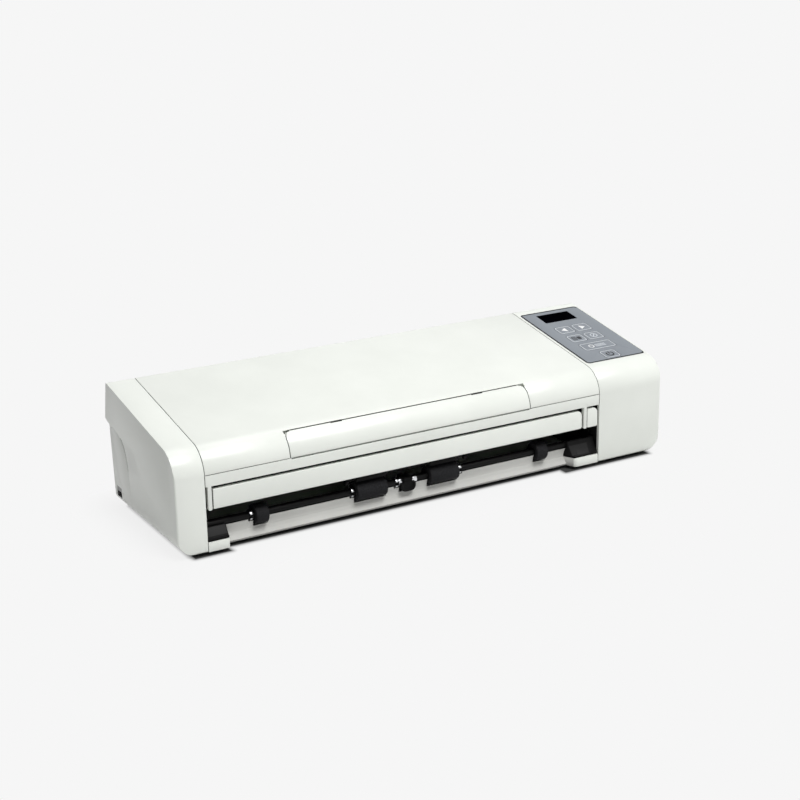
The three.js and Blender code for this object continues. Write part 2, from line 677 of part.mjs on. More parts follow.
function baseMoulding() {
	const rearFoot = underDepth - base.setBack;
	const floor = block(inBay, [base.rampBack - running, rearFoot - base.wall / 2], [0, base.floor]);
	const wall = alongWidth(outline([
		[rearFoot - base.wall, 0],
		[rearFoot, 0, base.edgeRadius],
		[rearWallDepthAt(wallTop) - base.setBack, wallTop],
		[rearWallDepthAt(wallTop) - base.setBack - base.wall, wallTop],
	]), ...inBay);
	const notches = [inBay[0], inBay[1]].map((x) => block(span(x, 2 * base.notchWidth),
		[underDepth - overrun, overallDepth], [lidPivot.height - base.notchDrop, rearHeight]));
	const leftStep = upwards(outline([
		[inBay[0], 0], [inBay[0] + base.leftStep, 0, edgeRadius],
		[inBay[0] + base.leftStep, base.stepRear], [inBay[0], base.stepRear],
	]), 0, base.stepHeight);
	const rightStep = upwards(outline([
		[inBay[1] - base.rightStep, 0, base.stepRadius], [inBay[1], 0],
		[inBay[1], base.stepRear], [inBay[1] - base.rightStep - base.stepSlant, base.stepRear],
	]), 0, base.stepHeight);
	const rollerRooms = [-1, 1].flatMap((side) => [
		[sheetMiddle + side * narrowOffset, exitRoller.narrowWidth],
		[sheetMiddle + side * exitRoller.wideOffset, exitRoller.wideWidth],
	]).map(([x, width]) => bar(exitRoller.radius + rollerGap, span(x, width + 2 * rollerGap), exitShaft, 24));
	const bearingRoom = block(span(sheetMiddle, bearing.width + 2 * rest),
		[0, bearing.rear + rest], [bearingBottom - rest, rearHeight]);
	const postRoom = block(span(sheetMiddle, bearing.width + 2 * rest),
		[bearing.footFront - rest, bearing.rear + rest], [base.floor, rearHeight]);
	const shaftRoom = bar(exitShaft.radius + rest, widened(inBay, overrun), exitShaft);
	const clipRooms = Object.values(clipPlaces()).map((x) => bar(
		clip.radius + rest, span(x, clip.width + 2 * clip.gap), exitShaft));
	const guideRooms = [leftGuidePlan(rest), rightGuidePlan(rest)].map(
		(plan) => upwards(plan, base.stepHeight, rearHeight));
	piece('base', cut(joined(floor, alongWidth(rampShape(), ...inBay), wall, leftStep, rightStep),
		...notches, ...rollerRooms, bearingRoom, postRoom, shaftRoom, ...clipRooms, ...guideRooms,
		...footPockets()), white);
}

// Black blocks fill the ends of the ramp above the steps. Each has a leaning face over a low lip,
// and the right one also has a rim along its slanting inner side.
const exitGuide = {
	front: 0.6, rear: 9.4, lip: 1.2, lipLength: 0.8, faceTopDepth: 4.5,
	leftDrop: 0.3, panelRise: 0.1, rightRise: 2.5, rim: 2.2, rimSetBack: 0.6,
};

function leftGuidePlan(grow) {
	const front = grow > 0 ? -overrun : exitGuide.front;
	const rear = exitGuide.rear + grow;
	const start = inBay[0] - grow;
	const end = inBay[0] + base.leftStep + grow;
	return outline([[start, front], [end, front], [end, rear], [start, rear]]);
}

function rightGuidePlan(grow) {
	const front = grow > 0 ? -overrun : exitGuide.front;
	const rear = exitGuide.rear + grow;
	const slant = base.stepSlant / base.stepRear;
	const start = inBay[1] - base.rightStep - grow;
	const end = inBay[1] + grow;
	return outline([[start - slant * front, front], [end, front], [end, rear], [start - slant * rear, rear]]);
}

function guideBlock(x, faceSetBack, top) {
	const bottom = base.stepHeight + rest;
	const underShaft = exitShaft.height - exitShaft.radius - seam;
	const beforeShaft = exitShaft.depth - exitShaft.radius - seam;
	return alongWidth(outline([
		[exitGuide.front, bottom],
		[exitGuide.rear, bottom],
		[exitGuide.rear, underShaft],
		[beforeShaft, underShaft],
		[beforeShaft, top],
		[exitGuide.faceTopDepth + faceSetBack, top],
		[exitGuide.front + exitGuide.lipLength + faceSetBack, bottom + exitGuide.lip],
		[exitGuide.front, bottom + exitGuide.lip],
	]), ...x);
}

function exitGuides() {
	const left = guideBlock(inBay, 0, exitShaft.height - exitGuide.leftDrop);
	piece('left_exit_guide', left.intersect(upwards(leftGuidePlan(0), 0, rearHeight)), black);
	const panelLeft = inBay[1] - base.rightStep + exitGuide.rim;
	const right = joined(
		guideBlock(inBay, exitGuide.rimSetBack, exitShaft.height + exitGuide.rightRise),
		guideBlock([panelLeft, inBay[1]], 0, exitShaft.height + exitGuide.panelRise));
	piece('right_exit_guide', right.intersect(upwards(rightGuidePlan(0), 0, rearHeight)), black);
}

// Lower half of the paper path
const guide = {
	gap: 1.6, thickness: 1.6, flange: 5.8, flangeStart: 23,
	lowerStart: 9, upperStart: 4.5, upperTurn: 9, upperEndShare: 0.898,
};
const scan = {
	sideMargin: 11.2, height: 10, chamfer: 1.5, lowerShare: 0.423, upperShare: 0.628, lengthShare: 0.179,
	glassReach: 2, glassLengthShare: 0.128, glassThickness: 1.4, glassSink: 0.2, margin: 0.4,
};
const pad = { width: 46, lengthShare: 0.14, above: [0.2, 3.2] };
const upperEnd = pathLength * guide.upperEndShare;
const lowerScan = pathLength * scan.lowerShare;
const upperScan = pathLength * scan.upperShare;
const scanLength = pathLength * scan.lengthShare;
const glassLength = pathLength * scan.glassLengthShare;
const padAlong = span(feedAlong, pathLength * pad.lengthShare);
const scanX = span(sheetMiddle, 2 * (sheetMiddle - bay[0] - scan.sideMargin));
const glassX = widened(scanX, scan.glassReach);

function tyreX(side) {
	return span(sheetMiddle + side * feed.tyreOffset, feed.tyreWidth);
}

// A scan bar and its glass, under the path for side -1 and over it for side 1.
function scanUnit(prefix, middle, side) {
	const along = span(middle, scanLength);
	const near = guide.gap + guide.thickness + rest;
	const far = near + scan.height;
	const corners = [
		onPath(along[0], side * near), onPath(along[1], side * near),
		[...onPath(along[1], side * far), scan.chamfer], [...onPath(along[0], side * far), scan.chamfer],
	];
	piece(`${prefix}_scan_bar`, alongWidth(outline(side > 0 ? corners : corners.reverse()), ...scanX), black);
	const face = guide.gap + scan.glassSink;
	const above = side > 0 ? [face, face + scan.glassThickness] : [-face - scan.glassThickness, -face];
	piece(`${prefix}_scan_glass`, pathSlab(glassX, span(middle, glassLength), above), glass);
}

function glassWindow(middle) {
	return pathSlab(widened(glassX, scan.margin), span(middle, glassLength + 2 * scan.margin),
		[-overrun, overrun]);
}

function lowerPath() {
	const top = -guide.gap;
	const sheet = pathSlab(betweenPlates, [guide.lowerStart, pathLength], [top - guide.thickness, top]);
	const flanges = [
		[betweenPlates[0], betweenPlates[0] + guide.thickness],
		[betweenPlates[1] - guide.thickness, betweenPlates[1]],
	].map((x) => pathSlab(x, [guide.flangeStart, pathLength], [-guide.flange, top]));
	const tyreRooms = [-1, 1].map((side) => bar(
		feed.tyreRadius + rollerGap, widened(tyreX(side), rollerGap), feedShaft, 28));
	piece('lower_guide', cut(joined(sheet, ...flanges), glassWindow(lowerScan), ...tyreRooms), black);
	scanUnit('lower', lowerScan, -1);
}

function feedRollers() {
	piece('feed_shaft', bar(feedShaft.radius, [leftPlate[0], gearX[1]], feedShaft), steel);
	[['left_feed_tyre', -1], ['right_feed_tyre', 1]].forEach(([name, side]) => {
		const bore = bar(feedShaft.radius + running, widened(tyreX(side), overrun), feedShaft);
		piece(name, cut(bar(feed.tyreRadius, tyreX(side), feedShaft, 28), bore), rubber);
	});
}

// Upper unit: a white frame that lifts about the lid pins
const coverWall = 2.2;
const coverGap = 0.6;
const shellWall = 1.8;
const shellInset = coverWall + coverGap;
const stripDepth = 2.2;
const leg = { width: 2, radius: 0.6, leftInset: 2.45, rightInset: 9.75 };
const throat = { frontSetBack: 25, rearSetBack: 12, margin: 8 };
const cheek = {
	frontDepth: 12, above: 4.4, startAlong: 17, endGap: 10, legSetBack: 12.4, legRise: 8,
};
const trayHinge = {
	faceDrop: 7.7, radius: 3.2, rodRadius: 1, earRadius: 2.7, earWidth: 4, earGap: 0.4,
	earShares: [0.092, 0.358, 0.64, 0.907],
};
const hoodTop = hoodBottom + hood.wallHeight;
const hingeFaceHeight = rearHeight - trayHinge.faceDrop;
const trayAxis = {
	depth: hoodDepthAt(hingeFaceHeight) - trayHinge.radius * Math.cos(hoodAngle),
	height: hingeFaceHeight - trayHinge.radius * Math.sin(hoodAngle),
};
const throatFront = overallDepth - throat.frontSetBack;
const throatRear = overallDepth - throat.rearSetBack;
const earXs = trayHinge.earShares.map((share) => bay[0] + share * (bay[1] - bay[0]));
const legX = [bay[0] + leg.leftInset, bay[1] - leg.rightInset];

function shellSkin() {
	const outer = insetHousing(shellInset).at(-1);
	const inner = insetHousing(shellInset + shellWall).at(-1);
	return outline([
		[stripDepth - shellWall / 2, frontHeights.skinBottom],
		[inner[0], frontHeights.skinBottom],
		inner,
		[throatFront, underTop(throatFront, shellInset + shellWall)],
		[throatFront, underTop(throatFront, shellInset)],
		outer,
		[outer[0], frontHeights.stripTop],
		[stripDepth - shellWall / 2, frontHeights.stripTop],
	]);
}

// Beside the throat the top plate runs on to the rear.
function throatSides() {
	const shape = outline([
		[throatFront - shellWall, underTop(throatFront - shellWall, shellInset + shellWall)],
		[throatRear, underTop(throatRear, shellInset + shellWall)],
		[throatRear, underTop(throatRear, shellInset)],
		[throatFront - shellWall, underTop(throatFront - shellWall, shellInset)],
	]);
	return [
		alongWidth(shape, inBay[0], inBay[0] + throat.margin),
		alongWidth(shape, inBay[1] - throat.margin, inBay[1]),
	];
}

// Each cheek hangs from the top plate, stays above the paper path and reaches down to its pin.
function cheeks() {
	const outer = insetHousing(shellInset).at(-1);
	const underBarrel = trayAxis.height - trayHinge.radius - coverGap;
	const hoodInner = hoodDepthAt(hoodTop) - shellWall;
	const legDepth = overallDepth - cheek.legSetBack;
	const shape = outline([
		[outer[0], frontHeights.skinBottom],
		[cheek.frontDepth, frontHeights.cheekNose],
		onPath(cheek.startAlong, cheek.above),
		onPath(pathLength - cheek.endGap, cheek.above),
		[legDepth, lidPivot.height + cheek.legRise],
		[legDepth, lidPivot.height],
		[lidPivot.depth + pivot.eyeRadius, lidPivot.height],
		[lidPivot.depth + pivot.eyeRadius, hoodBottom + shellWall],
		[hoodDepthAt(hoodBottom + shellWall) - shellWall / 2, hoodBottom + shellWall],
		[hoodDepthAt(hoodTop) - shellWall / 2, hoodTop],
		[hoodInner, hoodTop],
		[trayAxis.depth, underBarrel],
		[trayAxis.depth - trayHinge.radius - coverGap, trayAxis.height - shellWall],
		[throatRear, underTop(throatRear, shellInset)],
		outer,
	]);
	return [[inBay[0], inBay[0] + shellWall], [inBay[1] - shellWall, inBay[1]]].map(
		(x) => joined(alongWidth(shape, ...x), bar(pivot.eyeRadius, x, lidPivot)));
}

function hoodWall() {
	return alongWidth(outline([
		[hoodDepthAt(hoodBottom) - coverWall, hoodBottom],
		[hoodDepthAt(hoodBottom), hoodBottom, hood.lipRadius],
		[hoodDepthAt(hoodTop), hoodTop],
		[hoodDepthAt(hoodTop) - coverWall, hoodTop],
	]), ...inBay);
}

// Ears on the hood carry the rod on which the tray cover turns.
function hingeEars() {
	const footHeight = hoodBottom + coverWall;
	const web = outline([
		[trayAxis.depth - trayHinge.earRadius, trayAxis.height],
		[trayAxis.depth - trayHinge.earRadius, footHeight],
		[hoodDepthAt(footHeight) - coverWall / 2, footHeight],
		[hoodDepthAt(hoodTop) - coverWall / 2, hoodTop - coverWall / 2],
		[hoodDepthAt(hoodTop) - coverWall, hoodTop - coverWall / 2],
		[trayAxis.depth, trayAxis.height - trayHinge.earRadius],
		[trayAxis.depth, trayAxis.height],
	]);
	return earXs.map((middle) => {
		const x = span(middle, trayHinge.earWidth);
		return joined(alongWidth(web, ...x), bar(trayHinge.earRadius, x, trayAxis));
	});
}

function upperShell() {
	const band = block(inBay, [0, stripDepth], [frontHeights.stripBottom, frontHeights.stripTop]);
	const legs = legX.map((middle) => {
		const x = span(middle, leg.width);
		return alongDepth(outline([
			[x[0], frontHeights.legBottom, leg.radius], [x[1], frontHeights.legBottom, leg.radius],
			[x[1], frontHeights.stripBottom + shellWall], [x[0], frontHeights.stripBottom + shellWall],
		]), 0, stripDepth);
	});
	const frame = joined(band, ...legs, alongWidth(shellSkin(), ...inBay), ...throatSides(), ...cheeks(),
		hoodWall(), ...hingeEars());
	const through = widened(inBay, overrun);
	piece('upper_shell', cut(frame, bar(pivot.radius + running, through, lidPivot),
		bar(trayHinge.rodRadius + running, through, trayAxis)), white);
}

const pinInner = shellWall + seam;

function pins() {
	piece('left_lid_pin', bar(pivot.radius, [leftPlate[0], inBay[0] + pinInner], lidPivot), steel);
	piece('right_lid_pin', bar(pivot.radius, [inBay[1] - pinInner, rightPlate[1]], lidPivot), steel);
	piece('tray_hinge_rod', bar(trayHinge.rodRadius, widened(inBay, -seam), trayAxis), steel);
}

// Upper half of the paper path, with the upright plate that shows dark behind the fascia
const backPlateFront = 3.3;
const pinch = { along: 2.5, above: 2.5, radius: 2.4, spindleRadius: 1, lugWidth: 2, lugLength: 3.6 };
const [pinchDepth, pinchHeight] = onPath(pinch.along, pinch.above);
const pinchAxis = { depth: pinchDepth, height: pinchHeight };
const lugX = exitRoller.wideOffset + exitRoller.wideWidth / 2 + overrun;

function upperPath() {
	const backFace = backPlateFront + guide.thickness;
	const shape = outline([
		onPath(guide.upperStart, guide.gap),
		onPath(upperEnd, guide.gap),
		onPath(upperEnd, guide.gap + guide.thickness),
		onPath(guide.upperTurn, guide.gap + guide.thickness),
		[backFace, frontHeights.backPlate + guide.thickness],
		[backFace, frontHeights.skinBottom - rest],
		[backPlateFront, frontHeights.skinBottom - rest],
		[backPlateFront, frontHeights.backPlate],
	]);
	const x = [inBay[0] + shellWall + seam, legX[1]];
	const padRoom = pathSlab(widened(span(sheetMiddle, pad.width), rest), widened(padAlong, rest),
		[-overrun, overrun]);
	const rollerRooms = [-1, 1].map((side) => bar(pinch.radius + rollerGap,
		span(sheetMiddle + side * exitRoller.wideOffset, exitRoller.wideWidth + 2 * rollerGap), pinchAxis));
	const lugs = [-1, 1].map((side) => pathSlab(span(sheetMiddle + side * lugX, pinch.lugWidth),
		[pinch.along - pinch.lugLength / 2, guide.upperTurn],
		[pinch.above - pinch.lugLength / 2, guide.gap + guide.thickness]));
	const rodRoom = bar(pinch.spindleRadius + running, span(sheetMiddle, overallWidth), pinchAxis);
	piece('upper_guide', cut(joined(alongWidth(shape, ...x), ...lugs), glassWindow(upperScan), padRoom,
		...rollerRooms, rodRoom), black);
	scanUnit('upper', upperScan, 1);
	piece('separation_pad', pathSlab(span(sheetMiddle, pad.width), padAlong, pad.above), rubber);
	const spindle = bar(pinch.spindleRadius, span(sheetMiddle, 2 * lugX + pinch.lugWidth), pinchAxis);
	const rollers = [-1, 1].map((side) => bar(pinch.radius,
		span(sheetMiddle + side * exitRoller.wideOffset, exitRoller.wideWidth), pinchAxis));
	piece('pinch_roller', joined(spindle, ...rollers), black);
}

// Fascia bar and release button
const fascia = {
	legGap: 0.85, front: 0.4, leftRadius: 0.6, bottomRadius: 1.2, topRadius: 3,
};
const button = {
	legGap: 0.7, capGap: 1.05, front: 0.4, thickness: 2.6, radius: 1, cornerRadius: 3,
};
const fasciaX = widened(legX, -leg.width / 2 - fascia.legGap);
const buttonX = [legX[1] + leg.width / 2 + button.legGap, bay[1] - button.capGap];
const hook = { inset: 1.6, outerInset: 3.2, rear: 13.4, toeFront: 11.2 };

function fasciaBar() {
	piece('fascia_bar', alongDepth(outline([
		[fasciaX[0], frontHeights.fasciaBottom, fascia.leftRadius],
		[fasciaX[1], frontHeights.fasciaBottom, fascia.bottomRadius],
		[fasciaX[1], frontHeights.fasciaTop, fascia.topRadius],
		[fasciaX[0], frontHeights.fasciaTop, fascia.leftRadius],
	]), fascia.front, backPlateFront - rest), white);
}

function releaseButton() {
	const face = alongDepth(outline([
		[buttonX[0], frontHeights.buttonBottom, button.radius],
		[buttonX[1], frontHeights.buttonBottom, button.radius],
		[buttonX[1], frontHeights.buttonTop, button.cornerRadius],
		[buttonX[0], frontHeights.buttonTop, button.radius],
	]), button.front, button.front + button.thickness);
	const arm = alongWidth(outline([
		[button.front + button.thickness / 2, frontHeights.hookBottom],
		[hook.toeFront, frontHeights.hookBottom],
		[hook.toeFront, frontHeights.hookToe],
		[hook.rear, frontHeights.hookToe],
		[hook.rear, frontHeights.hookTop],
		[button.front + button.thickness / 2, frontHeights.hookTop],
	]), buttonX[0] + hook.inset, buttonX[1] - hook.outerInset);
	piece('release_button', joined(face, arm), white);
}

// Tray cover, hinged at the rear, with a flap in its front edge
const flap = {
	endMargin: 47.4, seamDepth: 6.9, gap: 0.5, cornerRadius: 3,
	notchWidth: 7, notchLength: 0.8, notchInset: 30,
};
const frontCentre = {
	depth: frontRadius,
	height: frontHeight - frontRadius * Math.tan((Math.PI / 2 - topSlope) / 2),
};
const flapAngle = Math.acos((flap.seamDepth - frontCentre.depth) / frontRadius);
const flapAxisRadius = frontRadius - coverWall / 2;
const flapAxis = {
	depth: frontCentre.depth + flapAxisRadius * Math.cos(flapAngle),
	height: frontCentre.height + flapAxisRadius * Math.sin(flapAngle),
};
const flapX = widened(bay, -flap.endMargin);

function coverSheet() {
	const inner = insetHousing(coverWall);
	const skirtTurn = coverWall / Math.cos(hoodAngle);
	return cut(alongWidth(outline([
		[hoodDepthAt(hingeFaceHeight), hingeFaceHeight],
		[rearTopDepth, rearHeight, edgeRadius],
		[0, frontHeight, frontRadius],
		[0, frontHeights.skinBottom],
		[coverWall, frontHeights.skinBottom],
		inner.at(-1),
		inner.at(-2),
		[hoodDepthAt(hingeFaceHeight) - skirtTurn, hingeFaceHeight],
	]), ...inBay), block(widened(inBay, overrun), [-overrun, frontRadius], [0, frontHeights.coverLip]));
}

// The flap's share of the sheet: in front of a plane through the middle of the round edge.
function flapRegion(grow) {
	const reach = frontRadius + overrun;
	const turn = grow / frontRadius;
	const seamEnd = [
		frontCentre.depth + reach * Math.cos(flapAngle - turn),
		frontCentre.height + reach * Math.sin(flapAngle - turn),
	];
	const side = outline([
		[frontCentre.depth, frontCentre.height],
		seamEnd,
		[-overrun, seamEnd[1]],
		[-overrun, 0],
		[frontCentre.depth, 0],
	]);
	const top = frontCentre.height + frontRadius * Math.sin(flapAngle) + running;
	const front = outline([
		[flapX[0] - grow, 0], [flapX[1] + grow, 0],
		[flapX[1] + grow, top + grow, flap.cornerRadius], [flapX[0] - grow, top + grow, flap.cornerRadius]]);
	return alongWidth(side, ...widened(flapX, overrun)).intersect(alongDepth(front, -overrun, frontRadius));
}

// Two short notches in the cover's edge, over the flap's knuckle
function flapNotches() {
	const radii = [frontRadius - coverWall / 2, frontRadius + overrun];
	const notchAngle = flapAngle - (flap.gap + flap.notchLength) / frontRadius;
	const at = (radius, angle) => [
		frontCentre.depth + radius * Math.cos(angle), frontCentre.height + radius * Math.sin(angle)];
	const wedge = outline([
		at(radii[0], flapAngle), at(radii[0], notchAngle),
		at(radii[1], notchAngle), at(radii[1], flapAngle),
	]);
	return [flapX[0] + flap.notchInset, flapX[1] - flap.notchInset].map(
		(middle) => alongWidth(wedge, ...span(middle, flap.notchWidth)));
}

function trayCover() {
	const sheet = coverSheet();
	const knuckleX = widened(flapX, -flap.cornerRadius);
	const barrel = bar(trayHinge.radius, inBay, trayAxis, 24);
	const earRooms = earXs.map((x) => bar(trayHinge.radius + trayHinge.earGap,
		span(x, trayHinge.earWidth + 2 * trayHinge.earGap), trayAxis, 24));
	const through = widened(inBay, overrun);
	const rodRoom = bar(trayHinge.rodRadius + running, through, trayAxis);
	const flapRoom = bar(coverWall / 2 + flap.gap, widened(flapX, flap.gap), flapAxis);
	piece('tray_cover', cut(joined(sheet, barrel), ...earRooms, rodRoom, flapRegion(flap.gap), flapRoom,
		...flapNotches()), white);
	const knuckle = bar(coverWall / 2, knuckleX, flapAxis);
	piece('tray_flap', joined(sheet.intersect(flapRegion(0)), knuckle), white);
}

endCaps();
controlPanel();
electronics();
makeFeet();
baseMoulding();
sidePlates();
exitRollers();
centreBearing();
exitGuides();
lowerPath();
feedRollers();
drive();
upperShell();
pins();
upperPath();
fasciaBar();
releaseButton();
trayCover();

body.position.set(0, -overallDepth / 2, foot.height);

export default scanner;
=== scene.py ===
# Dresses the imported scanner: moulded white shells, black rollers and plates, a blue-grey key
# film with printed key marks, on a pale studio floor.

import json
import math

import bpy
from mathutils import Matrix, Quaternion, Vector


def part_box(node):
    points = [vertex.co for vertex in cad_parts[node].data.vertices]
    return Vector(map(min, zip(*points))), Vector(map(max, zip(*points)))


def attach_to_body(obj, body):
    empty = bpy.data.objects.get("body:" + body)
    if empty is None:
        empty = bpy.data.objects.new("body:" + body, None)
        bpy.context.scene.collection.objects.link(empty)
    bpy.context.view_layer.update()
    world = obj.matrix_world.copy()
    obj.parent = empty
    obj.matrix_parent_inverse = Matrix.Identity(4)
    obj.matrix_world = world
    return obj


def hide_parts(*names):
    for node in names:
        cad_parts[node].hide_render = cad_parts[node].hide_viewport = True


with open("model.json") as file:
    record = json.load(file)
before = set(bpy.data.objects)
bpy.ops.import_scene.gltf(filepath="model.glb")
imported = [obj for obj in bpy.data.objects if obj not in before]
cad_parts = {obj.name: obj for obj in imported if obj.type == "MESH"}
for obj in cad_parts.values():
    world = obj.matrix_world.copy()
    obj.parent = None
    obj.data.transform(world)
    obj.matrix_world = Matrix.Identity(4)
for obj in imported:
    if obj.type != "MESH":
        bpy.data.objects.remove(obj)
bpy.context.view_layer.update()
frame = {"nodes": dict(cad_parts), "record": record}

MM = 0.001

# Places closer together than this count as one
SAME_PLACE = 0.01 * MM

# How far a cutting shape reaches out of the piece that it cuts
CUT_PAST = 1 * MM

# Edges sharper than this are rounded, by this much where EDGES gives nothing else
SHARP_ANGLE = math.radians(32)
USUAL_EDGE = 0.12 * MM

# The housing: half its depth, its feet, and the rise of its top over the depth of the top
HALF_DEPTH = 46 * MM
FOOT_HEIGHT = 1.8 * MM
TOP_RISE = 16.4 * MM
TOP_DEPTH = 87.6 * MM
TOP_SLOPE = math.atan2(TOP_RISE, TOP_DEPTH)

# The exit shaft's axis, from the front face and from the housing's underside
SHAFT_Y = 8 * MM - HALF_DEPTH
SHAFT_Z = 11.498 * MM + FOOT_HEIGHT


# Hand tools: one small helper for each step of the modelling

def deselect_all():
    bpy.ops.object.select_all(action="DESELECT")


def select_only(piece):
    deselect_all()
    piece.select_set(True)
    bpy.context.view_layer.objects.active = piece


def name_newest(name):
    """Names the object that the last step made, and returns it."""
    piece = bpy.context.active_object
    piece.name = name
    return piece


def start_edit(piece, mode="FACE"):
    select_only(piece)
    bpy.ops.object.mode_set(mode="EDIT")
    bpy.ops.mesh.select_mode(type=mode)


def end_edit():
    bpy.ops.object.mode_set(mode="OBJECT")


def edit_all(piece, mode="FACE"):
    """Starts the edit with everything selected."""
    start_edit(piece, mode)
    bpy.ops.mesh.select_all(action="SELECT")


def edit_faces(piece, wanted):
    """Starts the edit with only the wanted faces selected."""
    start_edit(piece)
    bpy.ops.mesh.select_all(action="DESELECT")
    end_edit()
    for face in piece.data.polygons:
        face.select = wanted(face)
    bpy.ops.object.mode_set(mode="EDIT")


def apply_modifier(piece, kind, **settings):
    select_only(piece)
    bpy.ops.object.modifier_add(type=kind)
    modifier = piece.modifiers[-1]
    for name, value in settings.items():
        setattr(modifier, name, value)
    bpy.ops.object.modifier_apply(modifier=modifier.name)


def soften(piece, width):
    """Rounds the sharp edges, and shades everything else smooth."""
    apply_modifier(piece, "BEVEL", width=width, segments=2, limit_method="ANGLE",
                   angle_limit=SHARP_ANGLE, use_clamp_overlap=True)
    bpy.ops.object.shade_smooth_by_angle(angle=SHARP_ANGLE)


def face_outwards(piece):
    edit_all(piece)
    bpy.ops.mesh.remove_doubles(threshold=0.001 * MM)
    bpy.ops.mesh.normals_make_consistent(inside=False)
    end_edit()


def settle(piece, place=None):
    """Puts the piece's place into its mesh, and leaves the object itself at the origin."""
    if place is not None:
        piece.matrix_world = place @ piece.matrix_world
    select_only(piece)
    bpy.ops.object.transform_apply(location=True, rotation=True, scale=True)


def new_cylinder(name, radius, x, y, z, sides=32):
    """A round bar along the width, between two places on it."""
    deselect_all()
    bpy.ops.mesh.primitive_cylinder_add(
        vertices=sides, radius=radius, depth=x[1] - x[0],
        location=((x[0] + x[1]) / 2, y, z),
        rotation=(0, math.pi / 2, 0))
    bar = name_newest(name)
    settle(bar)
    return bar


def take_out(piece, cutter):
    """Cuts the cutter's shape out of a piece, and throws the cutter away."""
    apply_modifier(piece, "BOOLEAN", operation="DIFFERENCE", object=cutter)
    bpy.data.objects.remove(cutter)


def cut_block(piece, low, high):
    """Takes a square-edged block out of a piece."""
    deselect_all()
    bpy.ops.mesh.primitive_cube_add(size=1, location=[(a + b) / 2 for a, b in zip(low, high)])
    cutter = name_newest("cutting_block")
    cutter.scale = [b - a for a, b in zip(low, high)]
    settle(cutter)
    take_out(piece, cutter)


def cut_across(piece, place, direction):
    """Cuts a line of edges round a piece, where a plane meets it."""
    edit_all(piece)
    bpy.ops.mesh.bisect(plane_co=place, plane_no=direction)
    end_edit()


def paint_faces(piece, wanted, material):
    """Gives the wanted faces a second material."""
    piece.data.materials.append(material)
    edit_faces(piece, wanted)
    piece.active_material_index = 1
    bpy.ops.object.material_slot_assign()
    end_edit()


def give(piece, material):
    piece.data.materials.clear()
    piece.data.materials.append(material)


def slot_of(node):
    subparts = frame["record"]["subparts"]
    return next(part["material_slot"] for part in subparts if part["node"] == node)


def body_of(node):
    bodies = frame["record"]["behaviour"]["bodies"]
    return next(body for body, members in bodies.items() if node in members)


def attach(piece, node, material):
    """Gives a piece its finish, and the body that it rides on."""
    give(piece, material)
    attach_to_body(piece, body_of(node))


# Materials

# The sockets of a mix node that mixes colours, by number, because other sockets have the same names
MIX_SHARE = 0
MIX_FIRST = 6
MIX_SECOND = 7
MIX_RESULT = 2

# A wave texture at scale 1 has about this many bands in a metre
BANDS_AT_SCALE_1 = 3.2


def new_material(name):
    material = bpy.data.materials.new(name)
    material.use_nodes = True
    nodes = material.node_tree.nodes
    return material, nodes, material.node_tree.links, nodes["Principled BSDF"]


def add_noise(nodes, links, scale, detail, roughness=0.55):
    coordinates = nodes.new("ShaderNodeTexCoord")
    noise = nodes.new("ShaderNodeTexNoise")
    noise.inputs["Scale"].default_value = scale
    noise.inputs["Detail"].default_value = detail
    noise.inputs["Roughness"].default_value = roughness
    links.new(coordinates.outputs["Object"], noise.inputs["Vector"])
    return noise.outputs["Fac"]


def add_ramp(nodes, links, source, low, high, start=0.35, end=0.65):
    ramp = nodes.new("ShaderNodeValToRGB")
    ramp.color_ramp.elements[0].position = start
    ramp.color_ramp.elements[0].color = (*low, 1)
    ramp.color_ramp.elements[1].position = end
    ramp.color_ramp.elements[1].color = (*high, 1)
    links.new(source, ramp.inputs["Fac"])
    return ramp


def add_range(nodes, links, source, low, high):
    spread = nodes.new("ShaderNodeMapRange")
    spread.inputs["To Min"].default_value = low
    spread.inputs["To Max"].default_value = high
    links.new(source, spread.inputs["Value"])
    return spread.outputs["Result"]


def add_bump(nodes, links, source, strength, distance, normal=None):
    bump = nodes.new("ShaderNodeBump")
    bump.inputs["Strength"].default_value = strength
    bump.inputs["Distance"].default_value = distance
    links.new(source, bump.inputs["Height"])
    if normal is not None:
        links.new(normal, bump.inputs["Normal"])
    return bump.outputs["Normal"]


def paint_shade_in_gaps(nodes, links, colour, reach, dark, open_range):
    """Painted shade: the colour darkens in the narrow gaps between two mouldings, where the ambient
    occlusion finds little room.
    """
    openness = nodes.new("ShaderNodeAmbientOcclusion")
    openness.samples = 6
    openness.inputs["Distance"].default_value = reach
    lit = nodes.new("ShaderNodeMapRange")
    lit.inputs["From Min"].default_value = open_range[0]
    lit.inputs["From Max"].default_value = open_range[1]
    links.new(openness.outputs["AO"], lit.inputs["Value"])
    mix = nodes.new("ShaderNodeMix")
    mix.data_type = "RGBA"
    mix.inputs[MIX_FIRST].default_value = (*dark, 1)
    links.new(lit.outputs["Result"], mix.inputs[MIX_SHARE])
    links.new(colour, mix.inputs[MIX_SECOND])
    return mix.outputs[MIX_RESULT]


